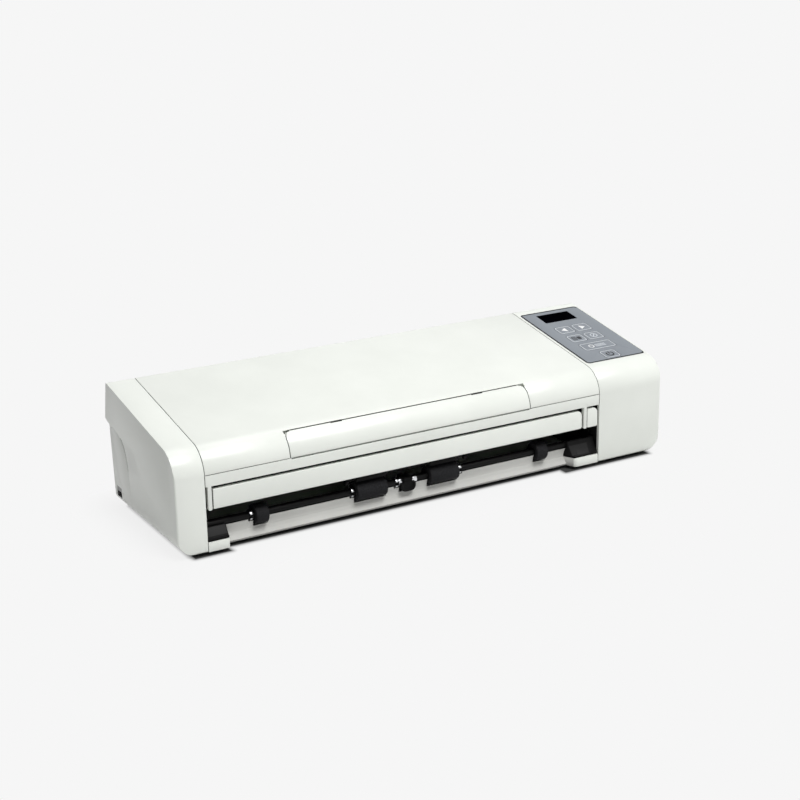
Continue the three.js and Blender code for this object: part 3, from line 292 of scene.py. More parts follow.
def moulded_plastic(name, low, high, rough, grain, grain_depth, specular=0.5,
                    gap_reach=0.0, painted_shade_colour=(0.012, 0.012, 0.011), gap_range=(0.15, 0.48)):
    """Faint broad tint changes, a fine eroded grain and a slow wave left by the mould."""
    material, nodes, links, shader = new_material(name)
    broad = add_noise(nodes, links, scale=28, detail=3)
    fine = add_noise(nodes, links, scale=grain, detail=2, roughness=0.5)
    slow = add_noise(nodes, links, scale=9, detail=1)
    colour = add_ramp(nodes, links, broad, low, high).outputs["Color"]
    # Painted shade in the narrow gaps, where gap_reach is given
    if gap_reach:
        colour = paint_shade_in_gaps(nodes, links, colour, gap_reach, painted_shade_colour, gap_range)
    links.new(colour, shader.inputs["Base Color"])
    links.new(add_range(nodes, links, broad, *rough), shader.inputs["Roughness"])
    wave = add_bump(nodes, links, slow, strength=0.05, distance=2 * MM)
    grained = add_bump(nodes, links, fine, strength=0.25, distance=grain_depth, normal=wave)
    links.new(grained, shader.inputs["Normal"])
    shader.inputs["Specular IOR Level"].default_value = specular
    return material


def turned_rubber(name, colour, pitch):
    """Ground rubber: fine rings round the roller and a dusty sheen."""
    material, nodes, links, shader = new_material(name)
    coordinates = nodes.new("ShaderNodeTexCoord")
    rings = nodes.new("ShaderNodeTexWave")
    rings.wave_type = "BANDS"
    rings.bands_direction = "X"
    rings.inputs["Scale"].default_value = 1 / pitch / BANDS_AT_SCALE_1
    rings.inputs["Distortion"].default_value = 0.6
    rings.inputs["Detail"].default_value = 2
    links.new(coordinates.outputs["Object"], rings.inputs["Vector"])
    grain = add_noise(nodes, links, scale=1500, detail=3)
    dusty = tuple(c * 1.6 + 0.004 for c in colour)
    tint = add_ramp(nodes, links, grain, colour, dusty)
    links.new(tint.outputs["Color"], shader.inputs["Base Color"])
    ringed = add_bump(nodes, links, rings.outputs["Fac"], strength=0.25, distance=0.1 * MM)
    grained = add_bump(nodes, links, grain, strength=0.3, distance=0.08 * MM, normal=ringed)
    links.new(grained, shader.inputs["Normal"])
    shader.inputs["Roughness"].default_value = 0.7
    shader.inputs["Specular IOR Level"].default_value = 0.12
    return material


def drawn_steel(name, colour, rough):
    """Bright steel with fine streaks along the width, where it was drawn or ground."""
    material, nodes, links, shader = new_material(name)
    coordinates = nodes.new("ShaderNodeTexCoord")
    stretch = nodes.new("ShaderNodeMapping")
    stretch.inputs["Scale"].default_value = (0.05, 1, 1)
    streaks = nodes.new("ShaderNodeTexNoise")
    streaks.inputs["Scale"].default_value = 1800
    streaks.inputs["Detail"].default_value = 3
    links.new(coordinates.outputs["Object"], stretch.inputs["Vector"])
    links.new(stretch.outputs["Vector"], streaks.inputs["Vector"])
    darker = tuple(c * 0.8 for c in colour)
    tint = add_ramp(nodes, links, streaks.outputs["Fac"], darker, colour)
    links.new(tint.outputs["Color"], shader.inputs["Base Color"])
    links.new(add_range(nodes, links, streaks.outputs["Fac"], *rough), shader.inputs["Roughness"])
    streaked = add_bump(nodes, links, streaks.outputs["Fac"], strength=0.12, distance=0.05 * MM)
    links.new(streaked, shader.inputs["Normal"])
    shader.inputs["Metallic"].default_value = 1
    return material


def smooth_gloss(name, low, high, roughness, grain=400, specular=0.5):
    """A hard glossy face with the faintest unevenness."""
    material, nodes, links, shader = new_material(name)
    haze = add_noise(nodes, links, scale=grain, detail=2)
    tint = add_ramp(nodes, links, haze, low, high)
    links.new(tint.outputs["Color"], shader.inputs["Base Color"])
    rough = add_range(nodes, links, haze, roughness, roughness * 1.5)
    links.new(rough, shader.inputs["Roughness"])
    uneven = add_bump(nodes, links, haze, strength=0.03, distance=0.1 * MM)
    links.new(uneven, shader.inputs["Normal"])
    shader.inputs["Specular IOR Level"].default_value = specular
    return material


def clear_glass(name):
    material = smooth_gloss(name, (0.35, 0.42, 0.42), (0.42, 0.5, 0.5), 0.05)
    material.node_tree.nodes["Principled BSDF"].inputs["Transmission Weight"].default_value = 0.6
    return material


def dark_window(name):
    """A display that is switched off: black, with hardly a mirror image."""
    material = smooth_gloss(name, (0.0005, 0.0005, 0.001), (0.001, 0.001, 0.002), 0.3, specular=0.0)
    material.node_tree.nodes["Principled BSDF"].inputs["IOR"].default_value = 1.1
    return material


def printed_ink(name, low, high):
    """Screen-printed ink: matt, a little uneven in its cover."""
    return moulded_plastic(name, low, high, rough=(0.5, 0.62), grain=5200, grain_depth=0.01 * MM,
                           specular=0.3)


# The white plastic darkens in its narrow gaps: painted shade
white_plastic = moulded_plastic(
    "moulded_white", (0.81, 0.835, 0.785), (0.845, 0.87, 0.82),
    rough=(0.26, 0.34), grain=2600, grain_depth=0.03 * MM, gap_reach=1.6 * MM)
# Painted shade on the ramp: greyer than the white, and darker still in its hollow
ramp_painted_shade = moulded_plastic(
    "ramp_painted_shade", (0.53, 0.53, 0.505), (0.58, 0.58, 0.555),
    rough=(0.33, 0.42), grain=2600, grain_depth=0.03 * MM,
    gap_reach=7 * MM, painted_shade_colour=(0.30, 0.30, 0.29), gap_range=(0.25, 0.7))
lock_grey = moulded_plastic(
    "lock_recess_grey", (0.25, 0.255, 0.25), (0.29, 0.295, 0.29),
    rough=(0.4, 0.5), grain=2600, grain_depth=0.03 * MM)
black_plastic = moulded_plastic(
    "moulded_black", (0.006, 0.006, 0.006), (0.010, 0.010, 0.010),
    rough=(0.5, 0.62), grain=2200, grain_depth=0.04 * MM, specular=0.06)
guide_black = moulded_plastic(
    "exit_guide_black", (0.011, 0.011, 0.011), (0.015, 0.015, 0.015),
    rough=(0.5, 0.6), grain=2200, grain_depth=0.04 * MM, specular=0.15)
shaft_black = moulded_plastic(
    "shaft_black", (0.006, 0.006, 0.006), (0.009, 0.009, 0.009),
    rough=(0.3, 0.4), grain=1500, grain_depth=0.02 * MM, specular=0.1)
gear_plastic = moulded_plastic(
    "gear_acetal", (0.72, 0.70, 0.63), (0.80, 0.78, 0.72),
    rough=(0.35, 0.5), grain=1800, grain_depth=0.03 * MM)
# The key film darkens in its narrow gaps: painted shade
film_grey = moulded_plastic(
    "key_film", (0.236, 0.258, 0.284), (0.250, 0.273, 0.300),
    rough=(0.5, 0.58), grain=3400, grain_depth=0.01 * MM, specular=0.25, gap_reach=1.0 * MM)
roller_rubber = turned_rubber("roller_rubber", (0.009, 0.009, 0.010), pitch=0.6 * MM)
foot_rubber = turned_rubber("foot_rubber", (0.02, 0.02, 0.022), pitch=2 * MM)
bright_steel = drawn_steel("bright_steel", (0.75, 0.76, 0.78), rough=(0.18, 0.32))
display_gloss = dark_window("display_gloss")
scan_glass = clear_glass("scan_glass")
board_green = smooth_gloss("board_green", (0.01, 0.12, 0.05), (0.02, 0.17, 0.07), 0.35, grain=900)
pale_ink = printed_ink("pale_ink", (0.60, 0.63, 0.67), (0.66, 0.69, 0.73))
white_ink = printed_ink("white_ink", (0.86, 0.87, 0.88), (0.9, 0.9, 0.9))
dark_ink = printed_ink("dark_ink", (0.012, 0.013, 0.016), (0.02, 0.022, 0.026))


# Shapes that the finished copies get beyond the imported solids

# The bearing's raised rim and hollow front, and its cheeks, which are cut down to the shaft
BEARING_RIM = 1.3 * MM
BEARING_HOLLOW = 0.5 * MM
CHEEK_WIDTH = 1.9 * MM
CHEEK_TOP = SHAFT_Z - 0.4 * MM


def rim_the_bearing(piece):
    """The bearing's front has a raised rim round a shallow hollow, and its cheeks are cut down."""
    front = min(corner[1] for corner in piece.bound_box)

    def on_the_front(face):
        return face.normal.y < -0.99 and face.center.y < front + SAME_PLACE

    edit_faces(piece, on_the_front)
    bpy.ops.mesh.inset(thickness=BEARING_RIM, depth=0)
    bpy.ops.mesh.extrude_region_move(TRANSFORM_OT_translate={"value": (0, BEARING_HOLLOW, 0)})
    end_edit()
    low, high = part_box("centre_bearing")
    left_cheek = (low.x - CUT_PAST, low.x + CHEEK_WIDTH)
    right_cheek = (high.x - CHEEK_WIDTH, high.x + CUT_PAST)
    for left, right in (left_cheek, right_cheek):
        cut_block(piece, (left, low.y - CUT_PAST, CHEEK_TOP),
                  (right, high.y + CUT_PAST, high.z + CUT_PAST))


# The dark line under the tray flap: its top and its foot, both down from the flap, its depth, and
# the room at its ends
FLAP_LINE_TOP = 0.1 * MM
FLAP_LINE_FOOT = 0.95 * MM
FLAP_LINE_DEPTH = 1.1 * MM
FLAP_LINE_MARGIN = 0.3 * MM


def open_the_flap_gap(piece):
    """The strip under the tray flap is set back a little, which leaves a dark line."""
    low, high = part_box("tray_flap")
    cut_block(piece, (low.x + FLAP_LINE_MARGIN, low.y - CUT_PAST, low.z - FLAP_LINE_FOOT),
              (high.x - FLAP_LINE_MARGIN, low.y + FLAP_LINE_DEPTH, low.z - FLAP_LINE_TOP))


def turn_the_clip(piece):
    """The retaining clip's open side is turned to the front, so its two prongs show."""
    edit_all(piece)
    bpy.ops.transform.rotate(value=math.pi, orient_axis="X", orient_type="GLOBAL",
                             center_override=(0, SHAFT_Y, SHAFT_Z))
    end_edit()


# The round line on the left side, from the rear edge over its top and down to its centre's height
ARC_RADIUS = 18.5 * MM
ARC_LINE = 0.6 * MM
ARC_DEPTH = 1.2 * MM
ARC_Y = 35.7 * MM
ARC_Z = 27.6 * MM
ARC_SIDES = 96

# The recess round the lock slot, low on the left side: two corners, in depth and in height
LOCK_RECESS = ((30.2 * MM, 6.2 * MM), (38.2 * MM, 13.8 * MM))
LOCK_RECESS_DEPTH = 0.8 * MM


def cut_the_left_side(piece):
    """A thin round line, cut by the upper half of a ring, and the recess round the lock slot."""
    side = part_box("left_end_cap")[0].x
    past = 2 * CUT_PAST
    ring = new_cylinder("arc_ring", ARC_RADIUS + ARC_LINE / 2, (side - CUT_PAST, side + ARC_DEPTH),
                        ARC_Y, ARC_Z, ARC_SIDES)
    core = new_cylinder("arc_core", ARC_RADIUS - ARC_LINE / 2, (side - past, side + 2 * ARC_DEPTH),
                        ARC_Y, ARC_Z, ARC_SIDES)
    take_out(ring, core)
    outer = ARC_RADIUS + CUT_PAST
    cut_block(ring, (side - past, ARC_Y - outer, ARC_Z - outer), (side + past, ARC_Y + outer, ARC_Z))
    take_out(piece, ring)
    low, high = LOCK_RECESS
    cut_block(piece, (side - CUT_PAST, *low), (side + LOCK_RECESS_DEPTH, *high))


# The two slots over the knuckles of the flap's hinge: their ends along the width
FLAP_SLOTS = ((-60.1 * MM, -53.5 * MM), (25.6 * MM, 32.5 * MM))
FLAP_SLOT_WIDTH = 1.6 * MM
FLAP_SLOT_DEPTH = 1.1 * MM


def slot_the_flap(piece):
    """Two slots in the flap's hinge edge, over its knuckles."""
    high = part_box("tray_flap")[1]
    for left, right in FLAP_SLOTS:
        cut_block(piece, (left, high.y - FLAP_SLOT_WIDTH, high.z - FLAP_SLOT_DEPTH),
                  (right, high.y + CUT_PAST, high.z + CUT_PAST))


# Faces that are painted in a second finish, mostly painted shade

# The ramp's face that gets painted shade: its front, rear and top, and its reach past the guides'
# inner edges
RAMP_FRONT = -45 * MM
RAMP_REAR = -36 * MM
RAMP_TOP = 16 * MM
RAMP_PAST_LEFT_GUIDE = 0.5 * MM
RAMP_PAST_RIGHT_GUIDE = 6.5 * MM

# How deep the faces inside a flap slot and inside the lock recess lie: at least, and at most
IN_FLAP_SLOT = (0.2 * MM, 2 * MM)
IN_LOCK_RECESS = (0.3 * MM, 3 * MM)

# The lighter panels of the exit guides: two corners each, across the width and in height. Each
# panel stops low, and the black above it is painted shade for the fascia's shadow
LEFT_PANEL = ((-134 * MM, 9 * MM), (-122.5 * MM, 14 * MM))
RIGHT_PANEL = ((88.4 * MM, 8 * MM), (101 * MM, 13.4 * MM))


def panel_the_guide(piece, low, high):
    """The leaning face's middle is a lighter panel in a black rim; the black above it is painted
    shade.
    """
    for corner in (low, high):
        cut_across(piece, (corner[0], 0, 0), (1, 0, 0))
        cut_across(piece, (0, 0, corner[1]), (0, 0, 1))

    def on_the_panel(face):
        leans = face.normal.y < -0.25 and face.normal.z > 0.1
        return leans and low[0] < face.center.x < high[0] and low[1] < face.center.z < high[1]

    paint_faces(piece, on_the_panel, guide_black)


def panel_the_left_guide(piece):
    panel_the_guide(piece, *LEFT_PANEL)


def panel_the_right_guide(piece):
    panel_the_guide(piece, *RIGHT_PANEL)


def shade_the_ramp(piece):
    """Painted shade: the ramp between the end steps is painted greyer, for the shade under the
    overhang.
    """
    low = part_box("left_exit_guide")[1]
    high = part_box("right_exit_guide")[0]

    def on_the_ramp(face):
        across = low.x - RAMP_PAST_LEFT_GUIDE < face.center.x < high.x + RAMP_PAST_RIGHT_GUIDE
        set_back = RAMP_FRONT < face.center.y < RAMP_REAR
        return across and set_back and face.normal.y < -0.15 and face.center.z < RAMP_TOP

    paint_faces(piece, on_the_ramp, ramp_painted_shade)


def darken_the_flap_slots(piece):
    """Painted shade: the slots are so narrow that they look black, so their faces are painted black.
    """
    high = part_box("tray_flap")[1]
    least, most = IN_FLAP_SLOT

    def in_a_slot(face):
        across = any(left <= face.center.x <= right for left, right in FLAP_SLOTS)
        behind = face.center.y > high.y - FLAP_SLOT_WIDTH - SAME_PLACE
        return across and behind and high.z - most < face.center.z < high.z - least

    paint_faces(piece, in_a_slot, black_plastic)


def grey_the_recess(piece):
    """The recess round the lock slot is grey, as hardly any light gets into it."""
    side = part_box("left_end_cap")[0].x
    low, high = LOCK_RECESS
    least, most = IN_LOCK_RECESS

    def in_the_recess(face):
        set_in = side + least < face.center.x < side + most
        return set_in and low[0] < face.center.y < high[0] and low[1] < face.center.z < high[1]

    paint_faces(piece, in_the_recess, lock_grey)


# Finished copies of the moulded and turned pieces

# The finish of each material slot, and of the pieces that have their own
FINISHES = {
    "white": white_plastic, "black": black_plastic, "rubber": roller_rubber, "steel": bright_steel,
    "film": film_grey, "screen": display_gloss, "glass": scan_glass, "gear": gear_plastic,
    "green": board_green,
}
OWN_FINISHES = {
    "exit_shaft": shaft_black,
    "front_left_foot": foot_rubber, "front_right_foot": foot_rubber,
    "rear_left_foot": foot_rubber, "rear_right_foot": foot_rubber,
}

# How far the edges are rounded, where it isn't the usual width
EDGES = {
    "left_end_cap": 0.3 * MM, "right_end_cap": 0.3 * MM, "tray_cover": 0.2 * MM, "tray_flap": 0.2 * MM,
    "upper_shell": 0.2 * MM, "fascia_bar": 0.5 * MM, "release_button": 0.35 * MM, "base": 0.3 * MM,
    "control_film": 0.05 * MM, "exit_shaft": 0.1 * MM, "left_exit_guide": 0.25 * MM,
    "right_exit_guide": 0.25 * MM, "left_wide_roller": 0.4 * MM, "right_wide_roller": 0.4 * MM,
    "left_narrow_roller": 0.4 * MM, "right_narrow_roller": 0.4 * MM,
}

# What is shaped before the edges are rounded, and what is painted after it
SHAPING = {
    "upper_shell": open_the_flap_gap, "left_end_cap": cut_the_left_side, "tray_flap": slot_the_flap,
    "centre_bearing": rim_the_bearing, "left_clip": turn_the_clip, "left_inner_clip": turn_the_clip,
    "bearing_clip": turn_the_clip, "right_inner_clip": turn_the_clip,
}
PAINTING = {
    "left_exit_guide": panel_the_left_guide, "right_exit_guide": panel_the_right_guide,
    "base": shade_the_ramp, "tray_flap": darken_the_flap_slots, "left_end_cap": grey_the_recess,
}


def finished(node, material, edge):
    """A merged copy of a piece of the frame with its sharp edges slightly rounded."""
    select_only(frame["nodes"][node])
    bpy.ops.object.duplicate()
    piece = name_newest(node + "_finished")
    for mark in [name for name in piece.keys() if name.startswith("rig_")]:
        del piece[mark]
    edit_all(piece)
    bpy.ops.mesh.remove_doubles(threshold=0.004 * MM)
    bpy.ops.mesh.dissolve_limited(angle_limit=math.radians(0.5))
    end_edit()
    if node in SHAPING:
        SHAPING[node](piece)
    soften(piece, edge)
    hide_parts(node)
    attach(piece, node, material)
    return piece


def finish_all():
    for node in sorted(frame["nodes"]):
        material = OWN_FINISHES.get(node, FINISHES[slot_of(node)])
        piece = finished(node, material, EDGES.get(node, USUAL_EDGE))
        if node in PAINTING:
            PAINTING[node](piece)


finish_all()


# Printed marks on the key film, and its painted shadow line. Each is drawn flat, X across and Y up the
# slope.

film_low, film_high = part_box("control_film")
FILM_THICKNESS = 0.6 * MM
INK_HEIGHT = 0.04 * MM

# The painted shadow line round the film: its width, its gap from the film's edge, its corners'
# radius, and the room that a corner takes up
FILM_LINE = 0.8 * MM
FILM_LINE_GAP = 0.05 * MM
FILM_CORNER = 1.9 * MM
CORNER_ROOM = 2 * MM

# The keys' outlines
KEY_WIDTH = 10.4 * MM
START_KEY_WIDTH = 21.8 * MM
KEY_LENGTH = 8.6 * MM
KEY_CORNER = 1.5 * MM
KEY_LINE = 0.5 * MM
KEY_LINE_GAP = 0.15 * MM

# The marks on the keys: the arrows, the share of a bar's width that its corners take, and how far
# the two pages lie from the middle of their key
ARROW_RADIUS = 2.3 * MM
ARROW_SPREAD = 1.15
BAR_ROUNDING = 0.3
PAGE_PLACE = 1.7 * MM


def on_panel(x, y):
    """The place of a flat drawing on the film: x from its middle, y up the slope."""
    middle = (film_low + film_high) / 2
    lift = Matrix.Translation((x, y, FILM_THICKNESS / 2))
    return Matrix.Translation(middle) @ Matrix.Rotation(TOP_SLOPE, 4, "X") @ lift


def on_key(node, x=0.0, y=0.0):
    """The place of a mark on a key, x and y from the key's middle."""
    low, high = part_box(node)
    offset = (low + high) / 2 - (film_low + film_high) / 2
    return on_panel(offset.x + x, offset.y / math.cos(TOP_SLOPE) + y)


def flat_plate(name, width, length, radius, corner_steps=5):
    """A rounded plate of ink, still without thickness."""
    deselect_all()
    bpy.ops.mesh.primitive_plane_add(size=1)
    plate = name_newest(name)
    plate.scale = (width, length, 1)
    settle(plate)
    edit_all(plate, "VERT")
    bpy.ops.mesh.bevel(offset=radius, segments=corner_steps, affect="VERTICES")
    end_edit()
    return plate


def flat_disc(name, radius, sides=28):
    deselect_all()
    bpy.ops.mesh.primitive_circle_add(vertices=sides, radius=radius, fill_type="NGON")
    return name_newest(name)


def hollow_out(piece, line):
    """Leaves only a line of the given width along the plate's edge."""
    edit_all(piece)
    bpy.ops.mesh.inset(thickness=line, depth=0)
    bpy.ops.mesh.delete(type="FACE")
    end_edit()


def remove_faces(piece, wanted):
    edit_faces(piece, wanted)
    bpy.ops.mesh.delete(type="FACE")
    end_edit()


def printed(piece, node, material, place):
    """Gives the drawing the height of ink, and lays it in its place."""
    edit_all(piece)
    bpy.ops.mesh.extrude_region_move(TRANSFORM_OT_translate={"value": (0, 0, INK_HEIGHT)})
    end_edit()
    face_outwards(piece)
    settle(piece, place)
    attach(piece, node, material)


def film_shadow_line():
    """Painted shadow: a dark line along the film's inner side, its front and its rear, where its edge
    is shaded.
    """
    width = film_high.x - film_low.x
    length = (film_high.y - film_low.y) / math.cos(TOP_SLOPE)
    edge = flat_plate("film_shadow_line", width - 2 * FILM_LINE_GAP, length - 2 * FILM_LINE_GAP, FILM_CORNER)
    hollow_out(edge, FILM_LINE)

    def on_the_outer_side(face):
        between_corners = abs(face.center.y) < length / 2 - CORNER_ROOM
        return face.center.x > width / 2 - CORNER_ROOM and between_corners

    remove_faces(edge, on_the_outer_side)
    printed(edge, "control_film", black_plastic, on_panel(0, 0))


def key_outline(node, width):
    outline = flat_plate(node + "_outline", width - 2 * KEY_LINE_GAP, KEY_LENGTH - 2 * KEY_LINE_GAP,
                         KEY_CORNER)
    hollow_out(outline, KEY_LINE)
    printed(outline, node, pale_ink, on_key(node))


def arrow_mark(node, turn):
    arrow = flat_disc(node + "_arrow", ARROW_RADIUS, sides=3)
    arrow.rotation_euler = (0, 0, turn)
    arrow.scale = (ARROW_SPREAD, 1, 1)
    settle(arrow)
    printed(arrow, node, white_ink, on_key(node))


def ring_mark(name, node, radius, line, material, x=0.0, gap_angle=0.0):
    """A printed ring, open at the top where a gap angle is given."""
    ring = flat_disc(name, radius)
    hollow_out(ring, line)
    if gap_angle:
        remove_faces(ring, lambda face: abs(math.atan2(face.center.x, face.center.y)) < gap_angle)
    printed(ring, node, material, on_key(node, x))


def bar_mark(name, node, material, width, length, x=0.0, y=0.0, turn=0.0):
    mark = flat_plate(name, width, length, min(width, length) * BAR_ROUNDING, corner_steps=2)
    printed(mark, node, material, on_key(node, x, y) @ Matrix.Rotation(turn, 4, "Z"))


def three_bars(name, node, material, width, length, x, pitch):
    for row in (1, 2, 3):
        bar_mark(f"{name}_{row}", node, material, width, length, x, (row - 2) * pitch)


def print_power_mark():
    """An open ring with a stroke in its gap."""
    ring_mark("power_ring", "key_power", radius=2.6 * MM, line=0.95 * MM, material=dark_ink,
              gap_angle=math.radians(34))
    bar_mark("power_stroke", "key_power", dark_ink, width=0.85 * MM, length=2.6 * MM, y=1.3 * MM)


def print_page_mark():
    """Two sheets of paper side by side, one with three lines on it: one or both sides."""
    page = flat_plate("page_outline", width=2.9 * MM, length=3.8 * MM, radius=0.4 * MM, corner_steps=2)
    hollow_out(page, line=0.55 * MM)
    printed(page, "key_scan_type", dark_ink, on_key("key_scan_type", -PAGE_PLACE))
    three_bars("page_line", "key_scan_type", dark_ink, width=1.3 * MM, length=0.34 * MM,
               x=-PAGE_PLACE, pitch=0.7 * MM)
    bar_mark("page_back", "key_scan_type", dark_ink, width=2.7 * MM, length=3.4 * MM, x=PAGE_PLACE)


def print_colour_mark():
    """A ring with a slanting stroke through it."""
    ring_mark("colour_ring", "key_color_mode", radius=2.3 * MM, line=0.55 * MM, material=pale_ink)
    bar_mark("colour_stroke", "key_color_mode", pale_ink, width=0.55 * MM, length=3.7 * MM,
             turn=math.radians(-38))


def print_start_mark():
    """A ring and a sheet being drawn in: a generic start mark."""
    ring_mark("start_ring", "key_start", radius=1.8 * MM, line=0.5 * MM, material=white_ink,
              x=-4.4 * MM)
    three_bars("start_line", "key_start", pale_ink, width=7 * MM, length=0.5 * MM,
               x=1.9 * MM, pitch=1.1 * MM)


def print_key_film():
    film_shadow_line()
    for node in ("key_left", "key_right", "key_scan_type", "key_color_mode", "key_power"):
        key_outline(node, KEY_WIDTH)
    key_outline("key_start", START_KEY_WIDTH)
    arrow_mark("key_left", math.radians(90))
    arrow_mark("key_right", math.radians(-90))
    print_power_mark()
    print_page_mark()
    print_colour_mark()
    print_start_mark()


print_key_film()


# Bright sleeves beside the centre bearing

bearing_low, bearing_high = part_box("centre_bearing")
SLEEVE_RADIUS = 2.22 * MM
SLEEVE_BORE = 2.05 * MM

# How far a sleeve reaches into the bearing's width, and out of it on each side
SLEEVE_INSIDE = 1.7 * MM
LEFT_SLEEVE_OUTSIDE = 0.4 * MM
RIGHT_SLEEVE_OUTSIDE = 1.6 * MM


def sleeve(name, x):
    """A thin tube on the shaft: both ends are inset, and their middles joined by the inner wall."""
    tube = new_cylinder(name, SLEEVE_RADIUS, x, SHAFT_Y, SHAFT_Z)
    edit_faces(tube, lambda face: abs(face.normal.x) > 0.9)
    bpy.ops.mesh.inset(thickness=SLEEVE_RADIUS - SLEEVE_BORE, depth=0)
    bpy.ops.mesh.bridge_edge_loops()
    end_edit()
    face_outwards(tube)
    soften(tube, USUAL_EDGE)
    attach(tube, "exit_shaft", bright_steel)


sleeve("bearing_left_sleeve", (bearing_low.x - LEFT_SLEEVE_OUTSIDE, bearing_low.x + SLEEVE_INSIDE))
sleeve("bearing_right_sleeve", (bearing_high.x - SLEEVE_INSIDE, bearing_high.x + RIGHT_SLEEVE_OUTSIDE))


# Studio: floor, world, lamps and camera

# The plain background, the light that it gives, and the floor's width in metres
BACKGROUND = (0.922, 0.922, 0.922, 1)
FILL_STRENGTH = 0.08
FLOOR_WIDTH = 12

# What stands on the floor: the whole width behind the ramp's lip, and the two ends in front of it.
# Each is the middle of a rectangle and half its size.
FOOTPRINTS = (
    ((0, -1.25 * MM), (141 * MM, 39.25 * MM)),
    ((-131.5 * MM, -4 * MM), (9.5 * MM, 42 * MM)),
    ((113 * MM, -4 * MM), (29 * MM, 42 * MM)),
)

# The floor by its distance from a footprint: its colour is a painted shadow, dark at first and pale
# from PAINTED_SHADOW_REACH, and it fades into the background from FADE_START to FADE_END, with
# BEND_SHARE of that done at FADE_BEND
PAINTED_SHADOW_REACH = 3 * MM
FADE_START = 0.5 * MM
FADE_BEND = 2.8 * MM
FADE_END = 30 * MM
BEND_SHARE = 0.9

# The photograph's camera: its angles, its place in metres, and its lens and sensor in millimetres
CAMERA_AZIMUTH = math.radians(30.183)
CAMERA_ELEVATION = math.radians(17.968)
CAMERA_ROLL = math.radians(-0.882)
CAMERA_PLACE = (-0.4194, -0.7276, 0.3173)
CAMERA_LENS = 72.12
CAMERA_SENSOR = 36


def add_math(nodes, links, operation, first, second):
    step = nodes.new("ShaderNodeMath")
    step.operation = operation
    links.new(first, step.inputs[0])
    links.new(second, step.inputs[1])
    return step.outputs[0]


def add_vector_math(nodes, links, operation, vector, value=(0, 0, 0)):
    step = nodes.new("ShaderNodeVectorMath")
    step.operation = operation
    step.inputs[1].default_value = value
    links.new(vector, step.inputs[0])
    return step.outputs["Value" if operation == "LENGTH" else "Vector"]


def add_mix(nodes, links, share, first, second):
    """Shows the first shader where the share is 0, and the second where it is 1."""
    mix = nodes.new("ShaderNodeMixShader")
    links.new(share, mix.inputs["Fac"])
    links.new(first.outputs[0], mix.inputs[1])
    links.new(second.outputs[0], mix.inputs[2])
    return mix.outputs[0]


def seen_directly(nodes, links):
    """1 where the camera, a glossy ray or a ray through glass sees the surface."""
    rays = nodes.new("ShaderNodeLightPath").outputs
    seen = add_math(nodes, links, "MAXIMUM", rays["Is Camera Ray"], rays["Is Glossy Ray"])
    return add_math(nodes, links, "MAXIMUM", seen, rays["Is Transmission Ray"])


def make_world():
    world = bpy.data.worlds.new("studio")
    bpy.context.scene.world = world
    world.use_nodes = True
    nodes = world.node_tree.nodes
    links = world.node_tree.links
    seen = nodes["Background"]
    seen.inputs["Color"].default_value = BACKGROUND
    seen.inputs["Strength"].default_value = 1
    fill = nodes.new("ShaderNodeBackground")
    fill.inputs["Color"].default_value = (1, 1, 1, 1)
    fill.inputs["Strength"].default_value = FILL_STRENGTH
    mixed = add_mix(nodes, links, seen_directly(nodes, links), fill, seen)
    links.new(mixed, nodes["World Output"].inputs["Surface"])


def distance_outside(nodes, links, place, middle, half_size):
    """How far a place on the floor lies outside a rectangle, in metres."""
    centred = add_vector_math(nodes, links, "SUBTRACT", place, (*middle, 0))
    folded = add_vector_math(nodes, links, "ABSOLUTE", centred)
    outside = add_vector_math(nodes, links, "SUBTRACT", folded, (*half_size, 0))
    clipped = add_vector_math(nodes, links, "MAXIMUM", outside)
    return add_vector_math(nodes, links, "LENGTH", clipped)


def distance_from_object(nodes, links):
    """How far a place on the floor lies outside the nearest footprint."""
    place = nodes.new("ShaderNodeTexCoord").outputs["Object"]
    distances = [distance_outside(nodes, links, place, *footprint) for footprint in FOOTPRINTS]
    nearest = distances[0]
    for distance in distances[1:]:
        nearest = add_math(nodes, links, "MINIMUM", nearest, distance)
    return nearest


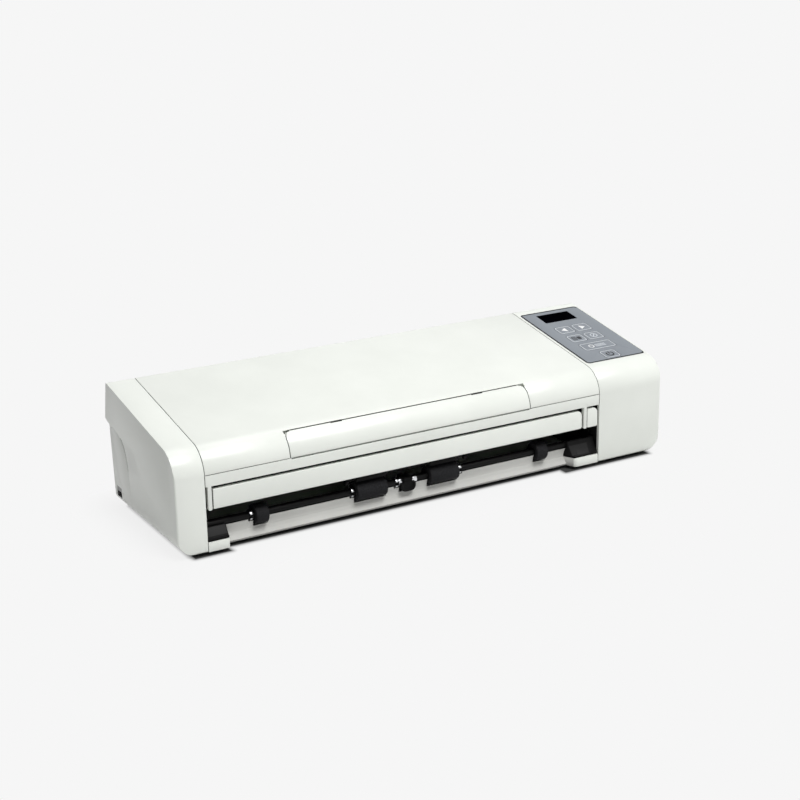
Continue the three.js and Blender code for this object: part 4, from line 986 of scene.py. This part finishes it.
def make_floor():
    """Pale floor with a painted shadow: dark close round the scanner, and turning into the plain
    background.
    """
    deselect_all()
    bpy.ops.mesh.primitive_plane_add(size=FLOOR_WIDTH)
    floor = name_newest("studio_floor")
    material, nodes, links, shader = new_material("studio_floor")
    away = distance_from_object(nodes, links)
    # Painted shadow: the floor's colour is dark right round the footprints
    shade = add_ramp(nodes, links, away, (0.05, 0.05, 0.05), (0.80, 0.80, 0.80), 0, PAINTED_SHADOW_REACH)
    links.new(shade.outputs["Color"], shader.inputs["Base Color"])
    shader.inputs["Roughness"].default_value = 0.9
    shader.inputs["Specular IOR Level"].default_value = 0.1
    glow = nodes.new("ShaderNodeEmission")
    glow.inputs["Color"].default_value = BACKGROUND
    fade = add_ramp(nodes, links, away, (0, 0, 0), (1, 1, 1), FADE_START, FADE_END)
    bend = fade.color_ramp.elements.new(FADE_BEND)
    bend.color = (BEND_SHARE, BEND_SHARE, BEND_SHARE, 1)
    seen = seen_directly(nodes, links)
    share = add_math(nodes, links, "MULTIPLY", seen, fade.outputs["Color"])
    mixed = add_mix(nodes, links, share, shader, glow)
    links.new(mixed, nodes["Material Output"].inputs["Surface"])
    give(floor, material)


def add_softbox(name, place, target, size, watts):
    deselect_all()
    bpy.ops.object.light_add(type="AREA", location=place)
    softbox = name_newest(name)
    softbox.rotation_euler = (Vector(target) - Vector(place)).to_track_quat("-Z", "Y").to_euler()
    softbox.data.shape = "RECTANGLE"
    softbox.data.size, softbox.data.size_y = size
    softbox.data.energy = watts


def make_lamps():
    """A weak lamp overhead, and a strong one high in front."""
    add_softbox("top_softbox", place=(0.6, 0.5, 3), target=(0, 0, 0), size=(1.6, 1.6), watts=18)
    add_softbox("front_softbox", place=(0.45, -1.5, 2.9), target=(0, 0, 0.03), size=(1.2, 1.2),
                watts=97)


def make_camera():
    deselect_all()
    level = math.cos(CAMERA_ELEVATION)
    forward = Vector((
        math.sin(CAMERA_AZIMUTH) * level,
        math.cos(CAMERA_AZIMUTH) * level,
        -math.sin(CAMERA_ELEVATION)))
    bpy.ops.object.camera_add(location=CAMERA_PLACE)
    camera = name_newest("photo_camera")
    camera.data.lens = CAMERA_LENS
    camera.data.sensor_width = CAMERA_SENSOR
    camera.rotation_mode = "QUATERNION"
    camera.rotation_quaternion = (
        forward.to_track_quat("-Z", "Y") @ Quaternion((0, 0, 1), CAMERA_ROLL))
    bpy.context.scene.camera = camera


make_world()
make_floor()
make_lamps()
make_camera()
bpy.context.scene.view_settings.view_transform = "Standard"
